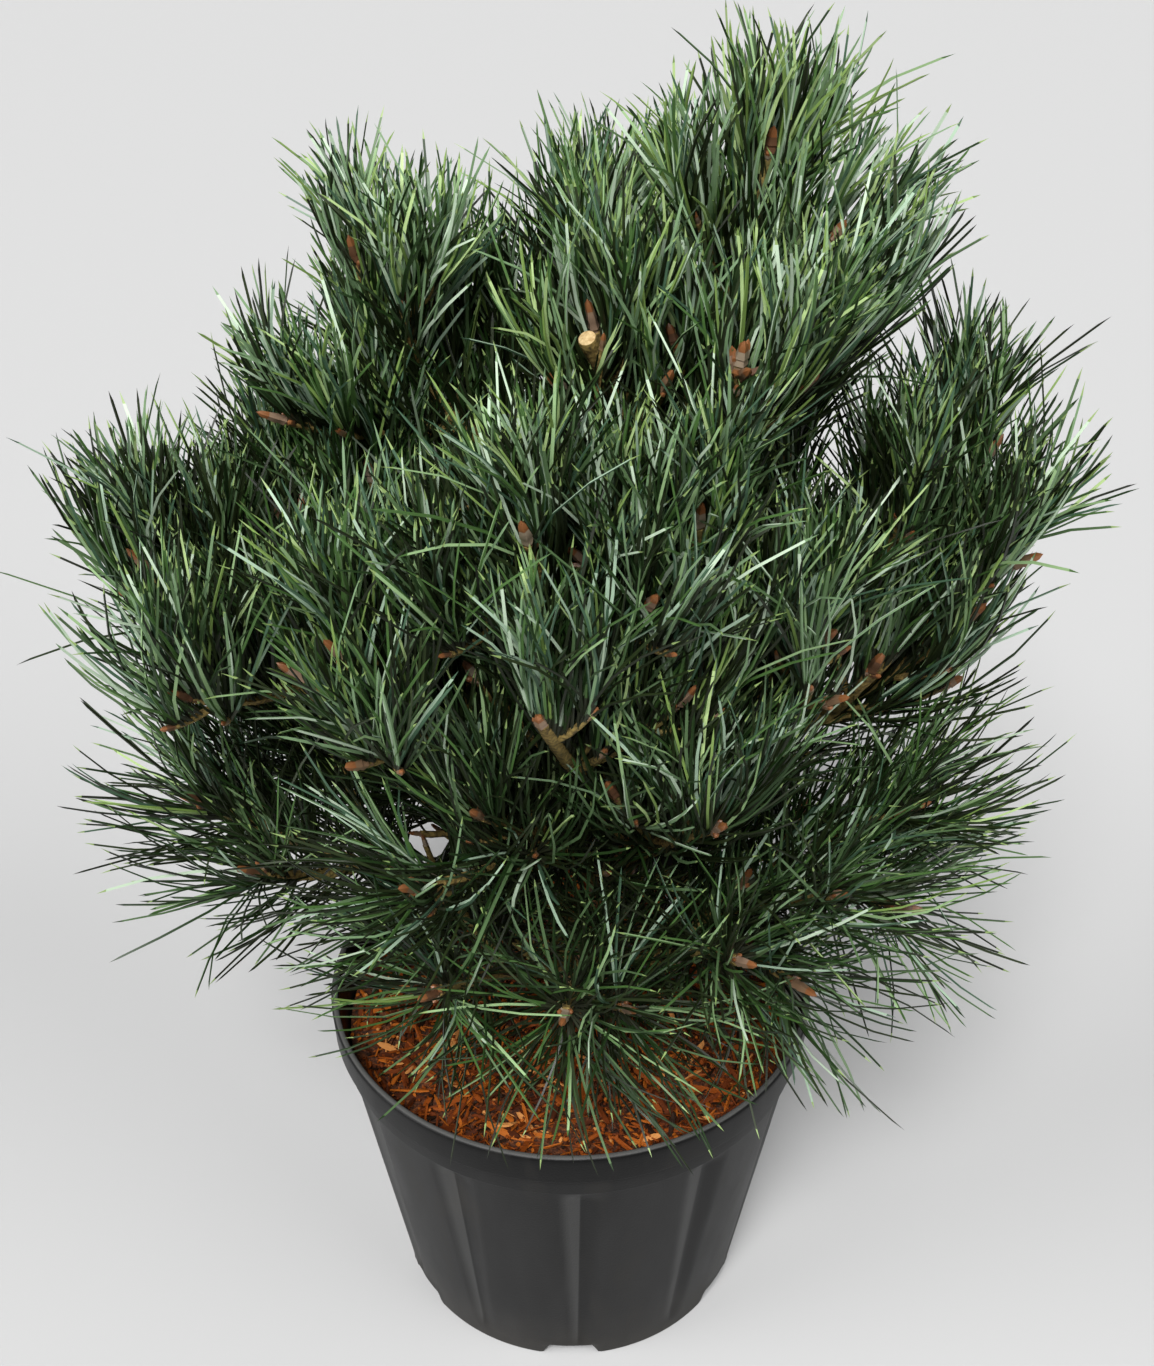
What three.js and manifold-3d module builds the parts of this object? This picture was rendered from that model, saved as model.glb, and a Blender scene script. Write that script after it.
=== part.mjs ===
// A young Scots pine in a round nursery container: a short leaning trunk, whorls of boughs that
// rise from it, and round each bough's end a mass of twigs set with long blue-green needles.
// Millimetres, +Z up. The origin is on the ground under the middle of the pot, and -Y is the front.
import * as THREE from "three";
import { mergeVertices } from "three/addons/utils/BufferGeometryUtils.js";
import Module from "manifold-3d";

const wasm = await Module();
wasm.setup();

const UP = new THREE.Vector3(0, 0, 1);
const RIGHT = new THREE.Vector3(1, 0, 0);
const NEARLY_UPRIGHT = 0.9995;
const GOLDEN_ANGLE = Math.PI * (3 - Math.sqrt(5));
const SEAT_GAP = 0.3;

// Driving dimensions of the container. The middle of its floor and its outer foot ring stand on the
// ground, with a raised drain channel between them whose mouths open through the ring.
const POT = {
  height: 230,
  rimRadius: 151,
  footRadius: 111,
  wall: 2.4,
  lipHeight: 21,
  lipStep: 3,
  lipDraft: 1,
  collarHeight: 15,
  collarStep: 2,
  rimRound: 2.5,
  footRing: 5,
  floorRise: 9,
  middleRadius: 60,
  middleDraft: 6,
  flutes: 11,
  fluteTurn: 273,
  fluteDepth: 4,
  fluteWidth: 28,
  fluteFootShare: 0.4,
  grooveFade: 12,
  drains: 6,
  drainWidth: 33,
  drainHeight: 8.5,
  drainDepth: 20,
};

// Driving dimensions of the potting mix, whose bark top lies below the rim, level round the trunk's foot
const MIX = { belowRim: 27, mound: 7, levelRadius: 36 };

// Driving dimensions of the trunk, which leans to the right and carries the leader on its tip
const TRUNK = {
  foot: [8, 4],
  bend: [44, 6, 400],
  tip: [80, 26, 640],
  footRadius: 15,
  tipRadius: 5,
  flareRadius: 7,
  flareShare: 0.07,
  rings: [0, 0.02, 0.045, 0.08, 0.25, 0.42, 0.6, 0.8, 1],
  sides: 10,
};

// Each limb leaves the trunk at a height, and ends in a bud at an azimuth (anticlockwise from +X), a reach
// from the pot's axis and a height. twigs is the number of side twigs on its leafy end, and turn swings the
// first of them round it. The limbs rise from the trunk in five whorls, one for each year's growth.
const LIMBS = [
  { name: "skirt_front", from: 248, azimuth: 269, reach: 130, height: 326, twigs: 1, turn: 200 },
  { name: "skirt_left", from: 231, azimuth: 240, reach: 146, height: 338, twigs: 1, turn: 40 },
  { name: "skirt_right", from: 231, azimuth: 311, reach: 142, height: 344, twigs: 1, turn: 150 },
  { name: "low_front_right", from: 255, azimuth: 330, reach: 170, height: 372, twigs: 2, turn: 10 },
  { name: "low_left", from: 242, azimuth: 186, reach: 214, height: 388, twigs: 3, turn: 60 },
  { name: "low_back_left", from: 252, azimuth: 137, reach: 206, height: 352, twigs: 3, turn: 72 },
  { name: "back_low", from: 238, azimuth: 84, reach: 205, height: 346, twigs: 3, turn: 20 },
  { name: "low_right", from: 296, azimuth: 349, reach: 194, height: 394, twigs: 2, turn: 90 },
  { name: "front_left", from: 300, azimuth: 251, reach: 137, height: 465, twigs: 2, turn: 300 },
  { name: "front_right", from: 312, azimuth: 300, reach: 150, height: 457, twigs: 2, turn: 30 },
  { name: "mid_left", from: 311, azimuth: 171, reach: 206, height: 436, twigs: 2, turn: 120 },
  { name: "back_left", from: 302, azimuth: 112, reach: 218, height: 470, twigs: 3, turn: 70 },
  { name: "back_right", from: 304, azimuth: 36, reach: 202, height: 436, twigs: 4, turn: 0 },
  { name: "front_middle", from: 366, azimuth: 265, reach: 150, height: 538, twigs: 2, turn: 20 },
  { name: "middle_right", from: 386, azimuth: 328, reach: 153, height: 540, twigs: 2, turn: 140 },
  { name: "right", from: 366, azimuth: 355, reach: 214, height: 510, twigs: 3, turn: 250 },
  { name: "left", from: 362, azimuth: 190, reach: 222, height: 554, twigs: 3, turn: 60 },
  { name: "left_front", from: 384, azimuth: 227, reach: 163, height: 556, twigs: 3, turn: 330 },
  { name: "back_shoulder_right", from: 380, azimuth: 58, reach: 198, height: 560, twigs: 4, turn: 50 },
  { name: "shoulder_right", from: 446, azimuth: 6, reach: 224, height: 586, twigs: 3, turn: 260 },
  { name: "shoulder_left", from: 452, azimuth: 171, reach: 158, height: 550, twigs: 3, turn: 100 },
  { name: "back_shoulder_left", from: 466, azimuth: 132, reach: 176, height: 570, twigs: 3, turn: 90 },
  { name: "upper_front", from: 438, azimuth: 261, reach: 121, height: 622, twigs: 2, turn: 180 },
  { name: "upper_front_right", from: 460, azimuth: 302, reach: 118, height: 620, twigs: 2, turn: 0 },
  { name: "crown_front", from: 530, azimuth: 324, reach: 102, height: 686, twigs: 2, turn: 60 },
  { name: "upper_left", from: 536, azimuth: 157, reach: 120, height: 692, twigs: 3, turn: 220 },
  { name: "crown_middle", from: 550, azimuth: 300, reach: 26, height: 686, twigs: 3, turn: 120 },
  { name: "crown_back", from: 524, azimuth: 88, reach: 138, height: 660, twigs: 3, turn: 200 },
];
const LEADER = { name: "leader", azimuth: 16, reach: 103, height: 758, twigs: 3, turn: 300 };

// A limb turns up towards its tip, the more so the higher it sits in the crown
const LIMB_ARM = 0.5;
const TIP_SLOPE = { lowHeight: 320, lowDegrees: 22, highHeight: 740, highDegrees: 82 };
const BOUGH = { baseRadius: 5.4, tipRadius: 3.2, sides: 5, rows: 4 };

// The leafy end of a limb, and the side twigs that its stem carries
const STEM = { share: 0.55, shortest: 84, longest: 156, baseRadius: 3.2, tipRadius: 2.2 };
const TWIG = {
  firstShare: 0.12,
  lastShare: 0.55,
  reach: 0.95,
  spread: 0.25,
  shortest: 56,
  divergence: 48,
  divergenceSpread: 12,
  lift: 0.5,
  baseRadius: 2.3,
  tipRadius: 1.7,
  clearance: 17,
  tries: 9,
};
const BUD = { length: 16, radius: 3.6, widest: 0.4 };

// Straight pieces that stand for a curve where distances are measured, and the shares of a twig that are
// held clear: of other masses along all of it, and of limbs and its own sisters over its outer half
const PIECES = { trunk: 12, bough: 6, twig: 6 };
const CLEAR_SHARES = { ofOthers: [0.2, 0.4, 0.6, 0.8, 1], ofSisters: [0.5, 0.75, 1] };

// Needles stand on every face of the core, close to its line at the bud and opening further down
const CORE = { bareFoot: 12, spacing: 9.5, closing: 1.2 };
const NEEDLE = {
  length: 88,
  spread: 0.1,
  swing: 18,
  tipDivergence: 15,
  rootDivergence: 66,
  lift: 0.15,
  opens: 90,
  scales: [1, 0.85, 0.7, 0.55],
  samples: [0.12, 0.3, 0.45, 0.6, 0.75, 0.9, 1],
};
const SPACE = { border: 3, needleGap: 2, rootGap: 6.5, limbGap: 3, potGap: 4 };

const SEED = { twigs: 20260, needles: 20360 };

// Looks
const BARK = { color: 0x6b4a2c, roughness: 0.9, metalness: 0 };
const FOLIAGE = { color: 0x4f7a5c, roughness: 0.6, metalness: 0 };
const PLASTIC = { color: 0x34363a, roughness: 0.5, metalness: 0 };
const BARK_CHIPS = { color: 0x8a4420, roughness: 0.95, metalness: 0 };

// A repeatable stream of numbers from 0 to 1
function seededRandom(seed) {
  let state = (seed * 48271) % 2147483647;
  return () => {
    state = (state * 16807) % 2147483647;
    return state / 2147483647;
  };
}

const mix = (a, b, share) => a + (b - a) * share;
const degrees = (angle) => (angle * Math.PI) / 180;

// A closed geometry as a solid
function solidOf(geometry) {
  const bare = geometry.clone();
  bare.deleteAttribute("normal");
  bare.deleteAttribute("uv");
  const merged = mergeVertices(bare, 1e-4);
  return new wasm.Manifold(
    new wasm.Mesh({
      numProp: 3,
      vertProperties: new Float32Array(merged.attributes.position.array),
      triVerts: new Uint32Array(merged.index.array),
    }),
  );
}

// A closed geometry as a solid whose faces point out, whichever way they were wound
function facingOut(geometry) {
  const solid = solidOf(geometry);
  if (solid.volume() > 0) return solid;
  const index = geometry.index.array;
  for (let i = 0; i < index.length; i += 3) {
    [index[i + 1], index[i + 2]] = [index[i + 2], index[i + 1]];
  }
  return solidOf(geometry);
}

// The main body of a solid, without a loose scrap or a sealed hollow
function largestPieceOf(solid) {
  return solid.decompose().reduce((largest, piece) => (piece.volume() > largest.volume() ? piece : largest));
}

// A solid as a geometry again, with flat faces
function geometryOf(solid) {
  const mesh = solid.getMesh();
  const geometry = new THREE.BufferGeometry();
  geometry.setAttribute("position", new THREE.BufferAttribute(mesh.vertProperties, 3));
  geometry.setIndex(new THREE.BufferAttribute(mesh.triVerts, 1));
  const flat = geometry.toNonIndexed();
  flat.computeVertexNormals();
  return flat;
}

function meshOf(name, solid, look) {
  const mesh = new THREE.Mesh(geometryOf(solid), new THREE.MeshStandardMaterial(look));
  mesh.name = name;
  return mesh;
}

// Two directions square to a limb's own, the first of them level
function frameAcross(direction) {
  const reference = Math.abs(direction.z) > NEARLY_UPRIGHT ? RIGHT : UP;
  const side = new THREE.Vector3().crossVectors(direction, reference).normalize();
  const rise = new THREE.Vector3().crossVectors(side, direction);
  return { side, rise };
}

// The direction that leaves another one by an angle, at a turn round it
function leaving(direction, angle, turn) {
  const { side, rise } = frameAcross(direction);
  const across = side.multiplyScalar(Math.cos(turn)).addScaledVector(rise, Math.sin(turn));
  return direction.clone().multiplyScalar(Math.cos(angle)).addScaledVector(across, Math.sin(angle));
}

// A rod bent along a stretch of a curve, through rings that each have a share of the stretch and a radius.
// Its last cap rises to the end of the stretch, so a rod whose last ring lies short of it ends in a point.
function rodAlong(curve, from, to, rings, sides) {
  const rod = new THREE.CylinderGeometry(1, 1, 1, sides, rings.length - 1);
  const position = rod.attributes.position;
  for (let i = 0; i < position.count; i++) {
    const [x, z] = [position.getX(i), position.getZ(i)];
    const ring = rings[Math.round((position.getY(i) + 0.5) * (rings.length - 1))];
    const isLastCentre = ring === rings[rings.length - 1] && Math.hypot(x, z) < 0.5;
    const t = mix(from, to, isLastCentre ? 1 : ring.share);
    const { side, rise } = frameAcross(curve.getTangent(t));
    const point = curve
      .getPoint(t)
      .addScaledVector(side, x * ring.radius)
      .addScaledVector(rise, z * ring.radius);
    position.setXYZ(i, point.x, point.y, point.z);
  }
  return facingOut(rod);
}

const evenShares = (rows) => Array.from({ length: rows + 1 }, (_, i) => i / rows);

// Container

const collarBottom = POT.height - POT.lipHeight - POT.collarHeight;
const lipBottom = POT.height - POT.lipHeight;
const floorTop = POT.floorRise + POT.wall;
const grooveTop = collarBottom - POT.grooveFade;
const wallTopRadius = POT.rimRadius - POT.lipStep - POT.collarStep - POT.rimRound;
const potRadiusAt = (z) => mix(POT.footRadius, wallTopRadius, z / collarBottom);

// The wall's upright edges: three to each groove, and two more that part the plain panel in thirds
const flutePitch = (2 * Math.PI) / POT.flutes;
const grooveHalf = POT.fluteWidth / 2 / wallTopRadius;
const panelWidth = flutePitch - 2 * grooveHalf;
const edgeOffsets = [
  { groove: -grooveHalf, panel: 0, depth: 0 },
  { groove: 0, panel: 0, depth: POT.fluteDepth },
  { groove: grooveHalf, panel: 0, depth: 0 },
  { groove: 0, panel: grooveHalf + panelWidth / 3, depth: 0 },
  { groove: 0, panel: grooveHalf + (2 * panelWidth) / 3, depth: 0 },
];
const wallEdges = Array.from({ length: POT.flutes }, (_, flute) =>
  edgeOffsets.map((edge) => ({ ...edge, middle: degrees(POT.fluteTurn) + flute * flutePitch })),
).flat();

// A groove is widest and deepest at its top
const grooveShareAt = (z) => mix(POT.fluteFootShare, 1, Math.min(1, z / grooveTop));

// A turned shape about the pot's axis whose wall is drawn in along the middle of each groove
function turned(profile, isGrooved) {
  const outline = profile.map(([radius, z]) => new THREE.Vector2(radius, z));
  const lathe = new THREE.LatheGeometry(outline, wallEdges.length);
  const position = lathe.attributes.position;
  for (let i = 0; i < position.count; i++) {
    const [radius, z] = profile[i % profile.length];
    const edge = wallEdges[Math.floor(i / profile.length) % wallEdges.length];
    const share = grooveShareAt(z);
    const angle = edge.middle + edge.panel + edge.groove * share;
    const drawn = radius - (isGrooved(radius, z) ? edge.depth * share : 0);
    position.setXYZ(i, drawn * Math.cos(angle), drawn * Math.sin(angle), z);
  }
  return facingOut(lathe);
}

function containerSolid() {
  const insideAt = (z) => potRadiusAt(z) - POT.wall;
  const channelOuter = POT.footRadius - POT.footRing;
  const profile = [
    [0, 0],
    [POT.middleRadius, 0],
    [POT.middleRadius + POT.middleDraft, POT.floorRise],
    [channelOuter, POT.floorRise],
    [channelOuter, 0],
    [POT.footRadius, 0],
    [potRadiusAt(floorTop), floorTop],
    [potRadiusAt(grooveTop), grooveTop],
    [wallTopRadius, collarBottom],
    [wallTopRadius + POT.collarStep, collarBottom],
    [wallTopRadius + POT.collarStep, lipBottom],
    [POT.rimRadius - POT.lipDraft, lipBottom],
    [POT.rimRadius, POT.height - POT.rimRound],
    [POT.rimRadius - POT.rimRound, POT.height],
    [POT.rimRadius - 2 * POT.rimRound, POT.height],
    [wallTopRadius - POT.wall, collarBottom],
    [insideAt(grooveTop), grooveTop],
    [insideAt(floorTop), floorTop],
    [0, floorTop],
    [0, 0],
  ];
  let solid = turned(profile, (radius, z) => radius > channelOuter && z > POT.floorRise && z <= grooveTop);
  for (let i = 0; i < POT.drains; i++) {
    const mouth = new THREE.BoxGeometry(POT.drainDepth, POT.drainWidth, 2 * POT.drainHeight);
    mouth.translate(POT.footRadius, 0, 0);
    mouth.rotateZ(degrees(270 + (i * 360) / POT.drains));
    solid = solid.subtract(solidOf(mouth));
  }
  return solid;
}

// Potting mix

const mixTop = POT.height - MIX.belowRim;
const mixPeak = mixTop + MIX.mound;
const mixEdge = wallTopRadius - POT.wall - 2 * SEAT_GAP;
const mixFall = (radius) => Math.max(0, radius - MIX.levelRadius) / (mixEdge - MIX.levelRadius);
const mixHeightAt = (radius) => mix(mixPeak, mixTop, mixFall(radius));

// The mix fills the pot to within the grooves' backs, and above them to the wall
function mixSolid() {
  const groovedAt = (z) => potRadiusAt(z) - POT.wall - POT.fluteDepth - 2 * SEAT_GAP;
  const profile = [
    [0, floorTop + SEAT_GAP],
    [groovedAt(floorTop), floorTop + SEAT_GAP],
    [groovedAt(grooveTop), grooveTop],
    [mixEdge, collarBottom],
    [mixEdge, mixTop],
    [MIX.levelRadius, mixPeak],
    [0, mixPeak],
    [0, floorTop + SEAT_GAP],
  ];
  return turned(profile, () => false);
}

// Trunk

const trunkFoot = new THREE.Vector3(...TRUNK.foot, mixPeak + SEAT_GAP);
const trunkCurve = new THREE.QuadraticBezierCurve3(
  trunkFoot,
  new THREE.Vector3(...TRUNK.bend),
  new THREE.Vector3(...TRUNK.tip),
);

function trunkRadiusAt(share) {
  const flare = Math.max(0, 1 - share / TRUNK.flareShare);
  return mix(TRUNK.footRadius, TRUNK.tipRadius, share) + TRUNK.flareRadius * flare * flare;
}

// The trunk, or the trunk grown by a little so that a bough cut by it seats on it with that gap
function trunkSolid(grown) {
  const rings = TRUNK.rings.map((share) => ({ share, radius: trunkRadiusAt(share) + grown }));
  const width = 2 * POT.rimRadius;
  const below = new THREE.BoxGeometry(width, width, width).translate(0, 0, trunkFoot.z - width / 2);
  return rodAlong(trunkCurve, 0, 1, rings, TRUNK.sides).subtract(solidOf(below));
}

// The share of the trunk's curve at which it reaches a height, found by halving
function trunkShareAt(height) {
  let share = 0.5;
  for (let step = 0.25; step > 1e-9; step /= 2) {
    share += trunkCurve.getPoint(share).z < height ? step : -step;
  }
  return share;
}

// Limbs: each is one curve from the trunk's axis to its bud, a bare bough first and then a leafy stem

function budOf(limb) {
  const azimuth = degrees(limb.azimuth);
  return new THREE.Vector3(limb.reach * Math.cos(azimuth), limb.reach * Math.sin(azimuth), limb.height);
}

function slopeAt(height) {
  const share = (height - TIP_SLOPE.lowHeight) / (TIP_SLOPE.highHeight - TIP_SLOPE.lowHeight);
  return degrees(mix(TIP_SLOPE.lowDegrees, TIP_SLOPE.highDegrees, Math.min(1, Math.max(0, share))));
}

function limbCurveFrom(start, limb) {
  const bud = budOf(limb);
  const outward = new THREE.Vector3(bud.x - start.x, bud.y - start.y, 0).normalize();
  const slope = slopeAt(limb.height);
  const heading = outward.multiplyScalar(Math.cos(slope)).addScaledVector(UP, Math.sin(slope));
  const arm = LIMB_ARM * start.distanceTo(bud);
  return new THREE.QuadraticBezierCurve3(start, bud.clone().addScaledVector(heading, -arm), bud);
}

// A limb's stem takes up a share of it, within the shortest and longest leafy end
function stemStart(curve) {
  const length = curve.getLength();
  return 1 - Math.min(STEM.longest, Math.max(STEM.shortest, STEM.share * length)) / length;
}

const limbs = LIMBS.map((limb) => {
  const curve = limbCurveFrom(trunkCurve.getPoint(trunkShareAt(limb.from)), limb);
  return { ...limb, curve, stemFrom: stemStart(curve) };
});
limbs.push({ ...LEADER, curve: limbCurveFrom(new THREE.Vector3(...TRUNK.tip), LEADER), stemFrom: 0 });

function boughSolid(limb, grownTrunk) {
  const rings = evenShares(BOUGH.rows).map((share) => ({
    share,
    radius: mix(BOUGH.baseRadius, BOUGH.tipRadius, share),
  }));
  return largestPieceOf(rodAlong(limb.curve, 0, limb.stemFrom, rings, BOUGH.sides).subtract(grownTrunk));
}

// Straight pieces of a curve between two shares of it, for measuring distances
function piecesOf(curve, from, to, count, radius) {
  const points = evenShares(count).map((share) => curve.getPoint(mix(from, to, share)));
  return points.slice(1).map((end, i) => ({ start: points[i], along: end.clone().sub(points[i]), radius }));
}

const offset = new THREE.Vector3();

function distanceToPiece(point, { start, along, radius }) {
  offset.subVectors(point, start);
  const share = Math.min(1, Math.max(0, offset.dot(along) / along.lengthSq()));
  return offset.addScaledVector(along, -share).length() - radius;
}

function distanceToAny(point, pieces) {
  let least = Infinity;
  for (const piece of pieces) least = Math.min(least, distanceToPiece(point, piece));
  return least;
}

// The wood without needles: the trunk, and each limb up to its stem
const boughs = limbs.filter((limb) => limb.stemFrom > 0);
const bareLimbs = [
  ...piecesOf(trunkCurve, 0, 1, PIECES.trunk, TRUNK.footRadius),
  ...boughs.flatMap((limb) => piecesOf(limb.curve, 0, limb.stemFrom, PIECES.bough, BOUGH.baseRadius)),
];

// Twigs: a mass is one stem and the side twigs that leave it by a seeded rule

function stemOf(limb) {
  const from = limb.stemFrom + SEAT_GAP / limb.curve.getLength();
  const length = limb.curve.getLength() * (1 - from);
  return { curve: limb.curve, from, to: 1, length, radii: [STEM.baseRadius, STEM.tipRadius] };
}

function sideTwig(stem, share, turn, random) {
  const t = mix(stem.from, stem.to, share);
  const root = stem.curve.getPoint(t);
  const angle = degrees(TWIG.divergence + TWIG.divergenceSpread * (2 * random() - 1));
  const heading = leaving(stem.curve.getTangent(t), angle, turn);
  const fullLength = TWIG.reach * (1 - share) * stem.length;
  const length = Math.max(TWIG.shortest, fullLength * (1 - TWIG.spread * random()));
  const middle = root.clone().addScaledVector(heading, length / 2);
  const lifted = heading.addScaledVector(UP, TWIG.lift).normalize();
  const bud = middle.clone().addScaledVector(lifted, length / 2);
  const curve = new THREE.QuadraticBezierCurve3(root, middle, bud);
  return { curve, from: 0, to: 1, length: curve.getLength(), radii: [TWIG.baseRadius, TWIG.tipRadius] };
}

function clearOfPot(point, gap) {
  const radius = Math.hypot(point.x, point.y);
  if (radius < wallTopRadius - POT.wall) return point.z > mixHeightAt(radius) + gap;
  return radius > POT.rimRadius + gap || point.z > POT.height + gap;
}

function isClear(twig, others, nearby) {
  const isApart = (share, wood) => distanceToAny(twig.curve.getPoint(share), wood) > TWIG.clearance;
  return (
    CLEAR_SHARES.ofOthers.every((share) => isApart(share, others)) &&
    CLEAR_SHARES.ofSisters.every((share) => isApart(share, nearby)) &&
    clearOfPot(twig.curve.getPoint(1), TWIG.clearance)
  );
}

const masses = limbs.map((limb) => ({ name: limb.name, twigs: [stemOf(limb)] }));
const woodOf = (twig) => piecesOf(twig.curve, twig.from, twig.to, PIECES.twig, 0);

function growTwigs(limb, mass, random) {
  const stem = mass.twigs[0];
  const others = masses.filter((other) => other !== mass).flatMap((other) => other.twigs.flatMap(woodOf));
  for (let k = 0; k < limb.twigs; k++) {
    const share = mix(TWIG.firstShare, TWIG.lastShare, (k + 0.5 * random()) / limb.twigs);
    const nearby = [...bareLimbs, ...mass.twigs.slice(1).flatMap(woodOf)];
    for (let attempt = 0; attempt < TWIG.tries; attempt++) {
      const turn = degrees(limb.turn) + (k + attempt * limb.twigs) * GOLDEN_ANGLE;
      const twig = sideTwig(stem, share, turn, random);
      if (isClear(twig, others, nearby)) {
        mass.twigs.push(twig);
        break;
      }
    }
  }
}

limbs.forEach((limb, i) => growTwigs(limb, masses[i], seededRandom(SEED.twigs + i)));
masses.forEach((mass) => {
  mass.wood = mass.twigs.map(woodOf);
});

// A twig is a slim three-sided core, turned a sixth of a circle from ring to ring so that its faces look
// six ways. It is bare at the foot, then closely ringed where needles stand, and ends in a bud.
function ringsOf({ curve, from, to, length, radii }) {
  const clothed = length - BUD.length - CORE.bareFoot;
  const count = Math.round(clothed / CORE.spacing);
  const rings = [{ back: length, radius: radii[0] }];
  for (let i = count; i >= 0; i--) {
    const back = BUD.length + clothed * (i / count) ** CORE.closing;
    rings.push({ back, radius: mix(radii[1], radii[0], back / length) });
  }
  rings.push({ back: BUD.length * BUD.widest, radius: BUD.radius });
  return rings.map(({ back, radius }, i) => ringOf(curve, mix(to, from, back / length), radius, i));
}

function ringOf(curve, t, radius, number) {
  const centre = curve.getPoint(t);
  const tangent = curve.getTangent(t);
  const points = [0, 1, 2].map((corner) => {
    const turn = (number / 6 + corner / 3) * 2 * Math.PI;
    return centre.clone().addScaledVector(leaving(tangent, Math.PI / 2, turn), radius);
  });
  return { centre, tangent, points };
}

// A needle is a slender pyramid on one face of the core. Its root is the middle of that face.
function needleOn(face, ring, divergence, random) {
  const root = face[0].clone().add(face[1]).add(face[2]).divideScalar(3);
  const { side, rise } = frameAcross(ring.tangent);
  const outward = root.clone().sub(ring.centre);
  const turn = Math.atan2(outward.dot(rise), outward.dot(side)) + degrees(NEEDLE.swing * (2 * random() - 1));
  const heading = leaving(ring.tangent, divergence, turn).addScaledVector(UP, NEEDLE.lift).normalize();
  return { root, heading, length: NEEDLE.length * (1 + NEEDLE.spread * (2 * random() - 1)) };
}

// The longest form of a needle that fits, or nothing. What grows through free air keeps its full length.
function tipOf({ root, heading, length }, fits) {
  const scale = NEEDLE.scales.find((share) =>
    NEEDLE.samples.every((part) => fits(root.clone().addScaledVector(heading, length * share * part), part)),
  );
  return scale ? root.clone().addScaledVector(heading, length * scale) : null;
}

// How far the needles lean out from the core's line, at a distance back from the bud
function divergenceAt(back) {
  return degrees(mix(NEEDLE.tipDivergence, NEEDLE.rootDivergence, Math.min(1, back / NEEDLE.opens)));
}

// The core and its needles as one closed skin: each face is kept, or raised to its needle's tip
function twigSolid(twig, random, fits, placed) {
  const rings = ringsOf(twig);
  const points = rings.flatMap((ring) => ring.points);
  const index = [0, 2, 1];
  for (let r = 1; r < rings.length; r++) {
    const isClothed = r > 1 && r < rings.length - 1;
    const share = (rings.length - 2 - r) / (rings.length - 3);
    const divergence = divergenceAt(share * twig.length);
    for (let corner = 0; corner < 3; corner++) {
      const next = (corner + 1) % 3;
      const low = 3 * (r - 1);
      const high = 3 * r;
      const faces = [
        [low + corner, low + next, high + corner],
        [low + next, high + next, high + corner],
      ];
      for (const face of faces) {
        const needle = needleOn(face.map((i) => points[i]), rings[r], divergence, random);
        const tip = isClothed ? tipOf(needle, fits) : null;
        if (!tip) {
          index.push(...face);
          continue;
        }
        placed.push({ start: needle.root, along: tip.clone().sub(needle.root), radius: 0 });
        face.forEach((from, i) => index.push(from, face[(i + 1) % 3], points.length));
        points.push(tip);
      }
    }
  }
  const last = 3 * (rings.length - 1);
  points.push(twig.curve.getPoint(twig.to));
  [0, 1, 2].forEach((corner) => index.push(last + corner, last + ((corner + 1) % 3), points.length - 1));
  const skin = new THREE.BufferGeometry().setFromPoints(points);
  skin.setIndex(index);
  return facingOut(skin);
}

// A mass's space is what lies nearer to its own twigs than to any other's, clear of limbs, pot and mix
function isInSpace(point, own, others) {
  return (
    distanceToAny(point, others) - distanceToAny(point, own) > SPACE.border &&
    distanceToAny(point, bareLimbs) > SPACE.limbGap &&
    clearOfPot(point, SPACE.potGap)
  );
}

function massSolid(mass, i) {
  const random = seededRandom(SEED.needles + i);
  const own = mass.wood.flat();
  const rest = masses.filter((other) => other !== mass).flatMap((other) => other.wood.flat());
  const reach = 2 * NEEDLE.length + STEM.longest / 2;
  const others = rest.filter((piece) => own.some((mine) => mine.start.distanceTo(piece.start) < reach));
  const needles = mass.twigs.map(() => []);
  const solids = mass.twigs.map((twig, k) => {
    const sisters = [...mass.wood, ...needles].filter((_, j) => j % mass.twigs.length !== k).flat();
    const fits = (point, part) =>
      isInSpace(point, own, others) &&
      distanceToAny(point, sisters) > mix(SPACE.rootGap, SPACE.needleGap, part) &&
      (part < NEEDLE.samples[1] || distanceToAny(point, needles[k]) > SPACE.needleGap);
    return twigSolid(twig, random, fits, needles[k]);
  });
  return largestPieceOf(solids.reduce((whole, twig) => whole.add(twig)));
}

// The whole plant in its pot
const plant = new THREE.Group();
plant.add(meshOf("pot", containerSolid(), PLASTIC));
plant.add(meshOf("potting_mix", mixSolid(), BARK_CHIPS));
plant.add(meshOf("trunk", trunkSolid(0), BARK));
const grownTrunk = trunkSolid(SEAT_GAP);
boughs.forEach((limb) => plant.add(meshOf(`bough_${limb.name}`, boughSolid(limb, grownTrunk), BARK)));
masses.forEach((mass, i) => plant.add(meshOf(`needles_${mass.name}`, massSolid(mass, i), FOLIAGE)));

export default plant;
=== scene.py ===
import math

import bpy
import numpy as np
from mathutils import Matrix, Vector, noise


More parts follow.
